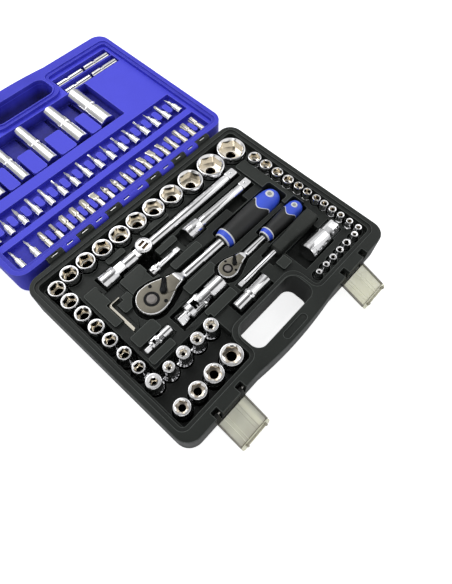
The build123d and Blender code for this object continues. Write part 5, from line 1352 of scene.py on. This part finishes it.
def universal_joint(prefix, body, x, y, z, length, barrel, drive, depth):
    """The two yokes and the cross of one joint, each its own piece."""
    r = barrel / 2
    middle = length / 2
    back, inner, width = barrel * 0.68, barrel * 0.26, barrel * 0.275
    ear = (r * 0.98, inner, width, back + 1.0)
    tip_yoke = Shape()
    lying(
        tip_yoke, x, y, z,
        ("on edge", (0.0, drive * 0.80), (0.6, drive * 0.93), (drive * 0.14, drive)),
        ("on edge", (depth - 0.6, drive), (depth, drive * 0.94)),
        ("round", (depth + 0.1, drive * 0.47), (depth + barrel * 0.08, drive * 0.47)),
        ("round", (depth + barrel * 0.10, r * 0.86), (depth + barrel * 0.15, r * 0.97)),
        ("round", (depth + barrel * 0.22, r)),
        ("round", (middle - back - 0.3, r), (middle - back + 0.5, r * 0.95), (middle - back + 1.2, r * 0.80)),
    )
    joint_ears(tip_yoke, x + middle, y, z, -1, False, *ear)
    drive_node = [f"{prefix}_drive"]
    tip_yoke.piece(f"{prefix}_tip_yoke", [CHROME_TURNED], f"{body}_drive", drive_node, "chrome", 34.0)
    socket_yoke = Shape()
    lying(
        socket_yoke, x, y, z,
        ("round", (middle + back - 1.2, r * 0.80), (middle + back - 0.5, r * 0.95), (middle + back + 0.3, r)),
        ("round", (length - barrel * 0.10, r), (length - barrel * 0.09, r * 0.965)),
        ("round", (length - barrel * 0.055, r * 0.965), (length - barrel * 0.045, r)),
        ("round", (length - 0.7, r), (length, r * 0.9), (length, r * 0.82)),
    )
    end_hole(socket_yoke, x + length + 0.03, y, z, r * 0.82, "square", drive + 0.2, depth, -1)
    joint_ears(socket_yoke, x + middle, y, z, 1, True, *ear)
    socket_yoke.piece(f"{prefix}_socket_yoke", [CHROME_TURNED], body, [f"{prefix}_socket"], "chrome", 34.0)
    cross = Shape()
    block, pin, end = inner - 0.3, barrel * 0.12, r * 0.86
    cross.box((-block, -block, -block), (block, block, block))
    flat_pin = lathe([(pin, -end), (pin, end)], "x", count=24)
    cross.add([(b, a, c) for a, b, c in flat_pin.points], flat_pin.faces)
    lathe([(pin, -end), (pin, end)], shape=cross, count=24)
    at_centre = Matrix.Translation((x + middle, y, z))
    cross_node = [f"{prefix}_cross"]
    cross.piece(
        f"{prefix}_spider", [CHROME_TURNED], f"{body}_cross", cross_node, "chrome", 34.0, 0.4, at_centre
    )


universal_joint("big_joint", "joint_large", -90.1, -26.4, half_axis, 77.7, 22.0, half_drive, 13.5)
universal_joint("small_joint", "joint_small", -143.6, -25.7, quarter_axis, 41.0, 12.0, quarter_drive, 8.0)

shape = Shape()
lying(
    shape, -28.5, -66.5, 36.0,
    ("round", (0.0, 7.2), (0.1, 7.5), (0.8, 8.3), (21.5, 8.3), (22.4, 9.2), (23.2, 9.65), (26.4, 9.65)),
    ("round", (27.4, 9.0), (28.6, 8.7), (30.4, 8.7), (31.2, 8.3), (57.0, 8.3), (57.8, 7.7), (58.0, 7.0)),
)
end_hole(shape, -28.55, -66.5, 36.0, 7.3, "hexagon", 12.6, 30.0)
shape.piece("plug_small_turned", [CHROME_TURNED], "plug_small", ["plug_socket_small"], "chrome", 32.0)
shape = Shape()
lying(
    shape, 97.2, -80.3, 31.7,
    ("round", (0.0, 12.4), (0.1, 12.9), (1.0, 13.8), (5.0, 13.8), (5.3, 13.4), (6.6, 13.4), (6.9, 13.8)),
    ("round", (36.0, 13.8), (37.6, 12.9), (38.0, 12.0)),
    ("hexagon", (38.2, 21.6), (39.0, 22.0), (57.4, 22.0), (59.4, 20.6)),
    ("round", (60.0, 9.6)),
)
end_hole(shape, 97.15, -80.3, 31.7, 12.45, "hexagon", 21.0, 34.0)
shape.piece("plug_large_turned", [CHROME_TURNED], "plug_large", ["plug_socket_large"], "chrome", 32.0)
SLEEVE_RUBBER = soft_rubber("sleeve_rubber", (0.016, 0.016, 0.016), 0.7)
for node in ("plug_insert_small", "plug_insert_large"):
    refinish(node, SLEEVE_RUBBER)

# ---- Spinner handle ----
# Quarter inch driver handle lying in its pocket: a chromed shaft and a plain black handle with flat sides.
# The handle is moulded over the shaft in the same black plastic as the tray, waisted near its front.
# The tray plastic's painted shade darkens its lower side, and its painted light pales a band at pad height
# and its top.
HANDLE_PLASTIC = moulded_plastic("handle_plastic", (0.026, 0.029, 0.026), (0.040, 0.043, 0.038), 0.46, 0.2)
spinner_y, spinner_z = -48.6, 35.7
handle_start = 68.8
shape = Shape()
lying(
    shape, -2.6, spinner_y, spinner_z,
    ("square", (0.0, 5.2), (0.3, 5.9), (0.9, 6.35), (8.4, 6.35), (8.9, 6.0)),
    ("round", (9.0, 3.1), (9.8, 3.5), (72.0, 3.5), (80.0, 3.5)),
)
ball(shape, 1.6, spinner_y, spinner_z + 3.05, 1.1)
shape.piece("spinner_bar", [CHROME_TURNED], "spinner", ["spinner_shaft"], "chrome", 32.0)
# Stations along the handle: (distance, half width, half height).
handle_stations = (
    (0.0, 4.4, 4.4), (0.1, 6.2, 6.4), (0.8, 7.3, 7.6), (2.0, 7.7, 8.0), (8.0, 7.7, 8.1),
    (18.0, 7.5, 8.0), (28.0, 7.9, 8.4), (38.0, 8.8, 9.1), (50.0, 9.6, 9.6), (62.0, 10.0, 9.8),
    (72.0, 10.1, 9.8), (76.4, 9.8, 9.5), (78.6, 8.9, 8.6), (79.5, 7.6, 7.4), (79.7, 5.0, 5.0),
)
rings = []
for along, wide, high in handle_stations:
    ring = []
    for across, up in (squared(a, 7) for a in angles(64)):
        ring.append((handle_start + along, spinner_y + wide * across, spinner_z + high * up))
    rings.append(ring)
shape = Shape()
shape.skin(rings)
shape.piece("spinner_grip", [HANDLE_PLASTIC], "spinner", ["spinner_handle"], "grip_rubber", 40.0)

# ---- Hex keys ----
# Three bent hexagon keys stacked in one pocket, the largest at the bottom. Drawn hexagon wire, bent and
# nickelled. Each smaller key lies a little further in.
NICKEL = chrome("nickel", (0.80, 0.76, 0.66), 0.20)
key_corner = (-133.4, 50.0)
key_arm, key_leg, key_bend = 46.0, 16.0, 3.0
key_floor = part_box("hex_keys")[0][2] / MM
shape = Shape()
for inward, rise, flats in ((0.0, 0.0, 2.5), (0.7, 2.3, 2.0), (1.4, 4.2, 1.5)):
    x0, y0, z0 = key_corner[0] + inward, key_corner[1] - inward, key_floor + rise + flats / 2
    path = [(x0, y0 - key_arm + inward, math.pi / 2), (x0, y0 - key_bend, math.pi / 2)]
    for n in range(1, 9):
        a = math.pi * (1 - n / 16)
        x, y = x0 + key_bend + key_bend * math.cos(a), y0 - key_bend + key_bend * math.sin(a)
        path.append((x, y, math.pi / 2 - math.pi / 2 * n / 8))
    path.append((x0 + key_leg - inward, y0, 0.0))
    wire = sided_ring(0.0, flats, 6, 24, turn=math.pi / 6, soft=0.03)
    rings = []
    for x, y, heading in path:
        rings.append([(x - math.sin(heading) * a, y + math.cos(heading) * a, z0 + b) for _, a, b in wire])
    shape.skin(rings)
shape.piece("hex_keys_bent", [NICKEL], "keys", ["hex_keys"], "chrome", 25.0)

# ---- Bits and sockets in the lid ----
# Screw bits by the hinge, bit sockets in the row behind them, five deep sockets across the middle and eight
# smaller deep ones by the front: chromed or nickelled steel, lying in their pockets. The rows of bits and of
# bit sockets are set out by one Geometry Nodes tree.


def fluted_ring(along, radius, lobes, depth):
    """A ring with even lobes about its axis, cut in by this share of the radius between them."""
    ring = []
    for a in angles(48):
        reach = radius * (1 - depth * (0.5 - 0.5 * math.cos(lobes * a)) ** 0.8)
        ring.append((along, reach * math.cos(a), reach * math.sin(a)))
    return ring


def blade_ring(along, half_width, half_thick):
    """A flat ring for the blade of a slot bit."""
    around = (squared(a, 6) for a in angles(48))
    return [(along, half_width * across, half_thick * up) for across, up in around]


bit_sections = {
    "round": circle_ring,
    "cross": lambda along, radius: fluted_ring(along, radius, 4, 0.46),
    "star": lambda along, radius: fluted_ring(along, radius, 6, 0.22),
    "blade": lambda along, halves: blade_ring(along, *halves),
    "hexagon": lambda along, flats: sided_ring(along, flats, 6, soft=0.04),
}


def lying_tool(parts, mouth=None):
    """A tool along X from the origin, in parts as in lying(), with an end hole where it has a mouth."""
    shape = Shape()
    shape.skin([bit_sections[kind](along, size) for kind, *stations in parts for along, size in stations])
    if mouth:
        first_size = parts[0][1][1]
        end_hole(shape, -0.03, 0.0, 0.0, first_size * 0.985, *mouth)
    return shape


def row_tree():
    """Sets children of a collection along a line in turn, each rolled about its length by a seeded amount."""
    tree = bpy.data.node_groups.new("tools_in_a_row", "GeometryNodeTree")
    for label, kind in (
        ("Tools", "Collection"), ("Count", "Int"), ("Start", "Vector"), ("Pitch", "Vector"),
        ("Roll", "Float"), ("Seed", "Int"), ("Finish", "Material"),
    ):
        tree.interface.new_socket(label, in_out="INPUT", socket_type=f"NodeSocket{kind}")
    tree.interface.new_socket("Geometry", in_out="OUTPUT", socket_type="NodeSocketGeometry")
    given = tree.nodes.new("NodeGroupInput").outputs
    line = tree.nodes.new("GeometryNodeMeshLine")
    line.mode = "OFFSET"
    set_up(tree, line, {"Count": given["Count"], "Start Location": given["Start"], "Offset": given["Pitch"]})
    tools = tree.nodes.new("GeometryNodeCollectionInfo")
    set_up(tree, tools, {"Collection": given["Tools"], "Separate Children": True})
    chance = tree.nodes.new("FunctionNodeRandomValue")
    give(tree, chance.inputs[3], given["Roll"])
    give(tree, chance.inputs["Seed"], given["Seed"])
    turned = set_up(tree, tree.nodes.new("ShaderNodeCombineXYZ"), {"Y": chance.outputs[1]})
    rolled = tree.nodes.new("FunctionNodeEulerToRotation")
    give(tree, rolled.inputs[0], turned.outputs[0])
    order = tree.nodes.new("GeometryNodeInputIndex")
    placed = set_up(tree, tree.nodes.new("GeometryNodeInstanceOnPoints"), {
        "Points": line.outputs[0],
        "Instance": tools.outputs[0],
        "Pick Instance": True,
        "Instance Index": order.outputs[0],
        "Rotation": rolled.outputs[0],
    })
    real = tree.nodes.new("GeometryNodeRealizeInstances")
    give(tree, real.inputs[0], placed.outputs[0])
    finish = tree.nodes.new("GeometryNodeSetMaterial")
    set_up(tree, finish, {"Geometry": real.outputs[0], "Material": given["Finish"]})
    give(tree, tree.nodes.new("NodeGroupOutput").inputs[0], finish.outputs[0])
    return tree


ROW_TREE = row_tree()


def row_piece(name, tools, start, pitch, roll, finish, body, nodes, seed=3):
    """Turns the tools to lie along Y, runs the row tree over them and keeps the plain mesh it makes."""
    kept = bpy.data.collections.new(f"{name}_tools")
    for i, shape in enumerate(tools):
        shape.move(Matrix.Rotation(math.pi / 2, 4, "Z"))
        mesh = shape.mesh(f"{name}_tool_{i:02d}", [finish], 30.0)
        kept.objects.link(bpy.data.objects.new(mesh.name, mesh))
    host = linked_object(f"{name}_host", bpy.data.meshes.new(f"{name}_host"))
    modifier = host.modifiers.new("row", "NODES")
    modifier.node_group = ROW_TREE
    values = {
        "Tools": kept,
        "Count": len(tools),
        "Start": [c * MM for c in start],
        "Pitch": [pitch * MM, 0.0, 0.0],
        "Roll": roll,
        "Seed": seed,
        "Finish": finish,
    }
    for item in ROW_TREE.interface.items_tree:
        if item.in_out == "INPUT":
            modifier[item.identifier] = values[item.name]
    bpy.context.view_layer.update()
    mesh = bpy.data.meshes.new_from_object(host.evaluated_get(bpy.context.evaluated_depsgraph_get()))
    mesh.name = name
    host.modifiers.clear()
    bpy.data.objects.remove(host)
    for made in list(kept.objects):
        bpy.data.objects.remove(made)
    bpy.data.collections.remove(kept)
    return piece_of(mesh, name, body, nodes)


def screw_bit(kind, width):
    """A screw bit: hexagon shank at the hinge end, then a neck and its tip."""
    half = width / 2
    shank = ("hexagon", (0.0, 5.8), (0.1, 6.8), (0.8, 7.9), (11.6, 7.9))
    neck = ("round", (12.4, 3.5), (14.0, 3.5))
    tips = {
        "hexagon": (
            ("round", (14.8, 3.9)),
            ("hexagon", (16.0, width), (28.2, width), (29.6, width - 1.4), (30.0, width - 2.6)),
        ),
        "cross": (
            ("round", (15.0, 3.9), (18.4, half), (19.6, half)),
            ("cross", (21.0, half), (28.6, 1.9), (29.8, 0.8)),
        ),
        "blade": (
            ("round", (15.0, 3.9)),
            ("blade", (16.8, (half, 3.4)), (18.5, (half, 3.4)), (26.5, (half, 0.9)), (29.8, (half, 0.6))),
            ("blade", (30.0, (half - 0.2, 0.4))),
        ),
        "star": (
            ("round", (15.2, 3.9), (16.2, half)),
            ("star", (17.2, half), (28.6, half), (29.8, half - 0.8)),
        ),
    }
    return lying_tool((shank, neck, *tips[kind]))


bits = (
    ("hexagon", 7.6), ("hexagon", 6.4), ("hexagon", 9.0), ("hexagon", 9.4), ("hexagon", 9.6),
    ("blade", 9.6), ("cross", 9.6), ("cross", 9.2), ("cross", 8.0), ("cross", 6.8), ("blade", 8.6),
    ("blade", 9.2), ("blade", 6.4), ("star", 7.4), ("star", 8.0), ("star", 9.4), ("star", 9.6),
)
bit_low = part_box("screw_bits")[0]
bit_start = (-126.0, bit_low[1] / MM, bit_low[2] / MM + 4.75)
bit_pitch = 17.82
row_piece(
    "screw_bits_row", [screw_bit(kind, width) for kind, width in bits], bit_start, bit_pitch, 0.3, NICKEL,
    "bits", ["screw_bits"],
)

bit_socket_length = 36.0
bit_socket_mouth = ("square", 6.5, 9.0)
bit_socket_tips = {
    "hexagon": (("hexagon", (19.2, 4.6), (19.8, 5.0), (34.8, 5.0), (36.0, 3.9)),),
    "cross": (
        ("hexagon", (19.6, 5.6), (27.0, 5.6)), ("round", (29.0, 2.4)),
        ("cross", (30.0, 2.3), (35.4, 0.8), (36.0, 0.4)),
    ),
    "star": (
        ("hexagon", (19.6, 5.6), (25.0, 5.6)), ("round", (27.6, 1.9)),
        ("star", (28.4, 1.7), (35.6, 1.7), (36.0, 1.3)),
    ),
    "slim": (("hexagon", (19.6, 5.6), (24.0, 5.6), (27.6, 2.6), (35.4, 2.4), (36.0, 1.8)),),
    "blade": (
        ("hexagon", (19.6, 5.6), (26.0, 5.6)),
        ("blade", (28.0, (2.6, 1.6)), (35.8, (2.6, 0.5)), (36.0, (2.4, 0.4))),
    ),
}


def bit_socket(kind):
    """A quarter inch socket with its bit pressed in: ringed body, short neck, slim bit."""
    body = (
        "round", (0.0, 4.9), (0.1, 5.1), (0.6, 5.45), (5.6, 5.45), (5.8, 4.95), (7.0, 4.95), (7.2, 5.45),
        (14.4, 5.45), (15.2, 4.6), (15.8, 3.9), (18.4, 3.9), (19.0, 3.2),
    )
    return lying_tool((body, *bit_socket_tips[kind]), bit_socket_mouth)


bit_socket_kinds = (
    "cross", "slim", "cross", "hexagon", "hexagon", "star", "cross", "hexagon",
    "star", "slim", "star", "blade", "star", "blade", "hexagon", "blade",
)
low, high = ([c / MM for c in corner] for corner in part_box("bit_sockets"))
socket_z = (low[2] + high[2]) / 2
row_piece(
    "bit_sockets_row", [bit_socket(kind) for kind in bit_socket_kinds],
    (-171.0, high[1] - bit_socket_length, socket_z), 22.15, 0.6, CHROME_TURNED,
    "sockets_bit", ["bit_sockets"],
)
row_piece(
    "bit_sockets_pair", [bit_socket("cross"), bit_socket("cross")],
    (-170.0, low[1], socket_z), 23.3, 0.6, CHROME_TURNED,
    "sockets_bit", [], seed=8,
)


def deep_socket(body, size, length, band):
    """A long socket lying down: bevelled mouth, a ring groove past its band, and a rounded rear."""
    r = body / 2
    slim, front, groove = r - 0.15, length * band, length * (band + 0.09)
    profile = (
        "round", (0.0, r - 1.4), (0.1, r - 1.0), (0.9, r), (front, r), (front + 0.8, r - 1.2),
        (groove, r - 1.2), (length * (band + 0.10) + 0.4, slim), (length * 0.8, slim),
        (length - 0.9, slim), (length - 0.3, r - 0.5), (length, r - 1.2),
    )
    return lying_tool([profile], ("hexagon", size, min(length * 0.45, 32.0)))


def add_tool(shape, tool, x, y, z, along_y=False):
    """Adds a tool's points and faces at a place, lying along X or turned to lie along Y."""
    points = [(x - b, y + a, z + c) if along_y else (x + a, y + b, z + c) for a, b, c in tool.points]
    shape.add(points, tool.faces, 0, tool.inner)


deep_length, deep_band, small_deep_length, small_deep_band = 82.0, 0.40, 50.0, 0.36
deep_y, deep_z = 282.5, 32.2
# Sockets across the middle: (place along X, diameter of the body, size across the flats).
deep_sockets = (
    (-120.1, 17.0, 10.0), (-79.8, 18.6, 12.0), (-32.4, 20.6, 14.0), (22.6, 23.4, 17.0), (71.6, 26.6, 19.0),
)
shape = Shape()
for x, body, size in deep_sockets:
    add_tool(shape, deep_socket(body, size, deep_length, deep_band), x, deep_y, deep_z, along_y=True)
socket_set(shape, "deep_sockets_set", "sockets_deep", "deep_sockets")

small_deep_sizes = (
    (10, 13.6), (11, 14.6), (12, 15.6), (13, 16.6), (6, 12.0), (7, 12.0), (8, 12.0), (9, 12.6),
)
small_deep_rows = (379.0, 399.5)
small_deep_centre, small_deep_first, small_deep_pitch = -0.5, 67.5, 54.0
small_deep_floor, small_deep_gap = 26.0, 0.05
shape = Shape()
for i, (size, body) in enumerate(small_deep_sizes):
    row, column = divmod(i % 4, 2)
    hand = -1 if i < 4 else 1
    half = small_deep_length / 2
    x = small_deep_centre + hand * (small_deep_first + small_deep_pitch * column + half) - half
    z = small_deep_floor + small_deep_gap + body / 2
    tool = deep_socket(body - small_deep_gap, size, small_deep_length, small_deep_band)
    add_tool(shape, tool, x, small_deep_rows[row], z)
socket_set(shape, "small_deep_sockets_set", "sockets_small_deep", "small_deep_sockets")

# ---- Floor, light and camera ----
# A pale floor under the open case, with one large soft light above and behind, and a white surround.
# The camera looks down steeply from the corner that the opening side of the base points to.
floor_level = cad_box[0][2]
floor_half = 1.5
camera_place = (-0.2205, -0.20275, 0.560)
camera_turn = (63.876, -51.197, 3.826)
camera_lens = 28.594


def paper_floor(name):
    """Matt white paper: takes a soft shadow and is otherwise as bright as the surround."""
    material, tree, shader = new_material(name)
    fibre = noise(tree, object_place(tree), 40.0, 3.0)
    ray = tree.nodes.new("ShaderNodeLightPath").outputs
    straight = number(tree, "MAXIMUM", ray["Is Camera Ray"], ray["Is Transmission Ray"])
    seen = number(tree, "MAXIMUM", straight, number(tree, "MULTIPLY", ray["Is Glossy Ray"], 0.3))
    set_up(tree, shader, {
        "Base Color": mix_colour(tree, fibre, (0.90, 0.90, 0.90), (0.94, 0.94, 0.94)),
        "Roughness": 1.0,
        "Specular IOR Level": 0.0,
        "Emission Color": (1.0, 1.0, 1.0),
        "Emission Strength": number(tree, "MULTIPLY", seen, 0.76),
        "Normal": bump(tree, fibre, 0.02, 0.0001),
    })
    return material


floor_mesh = bpy.data.meshes.new("floor")
corners = [(floor_half * x, floor_half * y, floor_level) for x, y in ((-1, -1), (1, -1), (1, 1), (-1, 1))]
floor_mesh.from_pydata(corners, [], [(0, 1, 2, 3)])
floor_mesh.materials.append(paper_floor("floor_paper"))
linked_object("floor", floor_mesh)


def soft_light(name, place, aim, size, power):
    """A rectangular light facing its aim."""
    lamp = bpy.data.lights.new(name, "AREA")
    lamp.shape = "RECTANGLE"
    lamp.size, lamp.size_y = size
    lamp.energy = power
    made = linked_object(name, lamp)
    made.location = place
    made.rotation_euler = (Vector(aim) - Vector(place)).to_track_quat("-Z", "Y").to_euler()


soft_light("key_light", (0.10, 1.10, 1.35), (0.0, 0.12, 0.0), (1.3, 0.9), 9.5)
soft_light("side_light", (1.25, -0.25, 0.95), (0.0, 0.1, 0.0), (0.9, 0.9), 4.0)
soft_light("front_light", (-1.0, -0.7, 0.9), (0.0, 0.1, 0.0), (0.8, 0.8), 2.0)


def background(tree, colour, strength):
    """One background of the surround; its strength is a socket or a number."""
    made = tree.nodes.new("ShaderNodeBackground")
    return set_up(tree, made, {"Color": colour, "Strength": strength}).outputs[0]


def shader_mix(tree, factor, first, second):
    """A mix of two shaders."""
    made = tree.nodes.new("ShaderNodeMixShader")
    for socket, value in zip(made.inputs, (factor, first, second)):
        give(tree, socket, value)
    return made.outputs[0]


def studio_pattern(tree):
    """How bright the surround is in polished metal: it has a dark gap, and dims ahead, behind and below."""
    apart = tree.nodes.new("ShaderNodeSeparateXYZ")
    give(tree, apart.inputs[0], tree.nodes.new("ShaderNodeTexCoord").outputs["Generated"])
    lean = number(tree, "DIVIDE", apart.outputs["Y"], number(tree, "MAXIMUM", apart.outputs["Z"], 0.05))
    before_gap = spread(tree, lean, -0.62, -0.48, 1.0, 0.12)
    gap = number(tree, "MAXIMUM", before_gap, spread(tree, lean, -0.12, 0.36, 0.12, 0.95))
    rise = spread(tree, apart.outputs["Z"], -0.05, 0.07, 0.06, 1.0)
    ahead = spread(tree, lean, 0.85, 1.5, 1.0, 0.55)
    behind = spread(tree, lean, -14.0, -8.0, 0.5, 1.0)
    both = number(tree, "MULTIPLY", ahead, behind)
    return number(tree, "MULTIPLY", number(tree, "MULTIPLY", gap, rise), both)


world = bpy.data.worlds.new("surround")
bpy.context.scene.world = world
world.use_nodes = True
sky = world.node_tree
sky.nodes.clear()
ray = sky.nodes.new("ShaderNodeLightPath").outputs
lit = background(sky, (0.95, 0.97, 1.0), 0.42)
studio = background(sky, (1.0, 1.0, 1.0), studio_pattern(sky))
paper_white = background(sky, (1.0, 1.0, 1.0), 1.0)
reflected = shader_mix(sky, ray["Is Glossy Ray"], lit, studio)
straight = number(sky, "MAXIMUM", ray["Is Camera Ray"], ray["Is Transmission Ray"])
surround = shader_mix(sky, straight, reflected, paper_white)
set_up(sky, sky.nodes.new("ShaderNodeOutputWorld"), {"Surface": surround})

bpy.context.scene.view_settings.view_transform = "Standard"
eye = bpy.data.cameras.new("camera")
eye.sensor_width = 36.0
eye.sensor_fit = "AUTO"
eye.lens = camera_lens
eye.clip_start = 0.01
eye.clip_end = 20.0
elevation, azimuth, roll = (math.radians(v) for v in camera_turn)
level = math.cos(elevation)
look = Vector((-math.sin(azimuth) * level, math.cos(azimuth) * level, -math.sin(elevation)))
aim = look.to_track_quat("-Z", "Y").to_matrix()
camera = linked_object("camera", eye)
camera.matrix_world = Matrix.Translation(camera_place) @ (aim @ Matrix.Rotation(roll, 3, "Z")).to_4x4()
bpy.context.scene.camera = camera
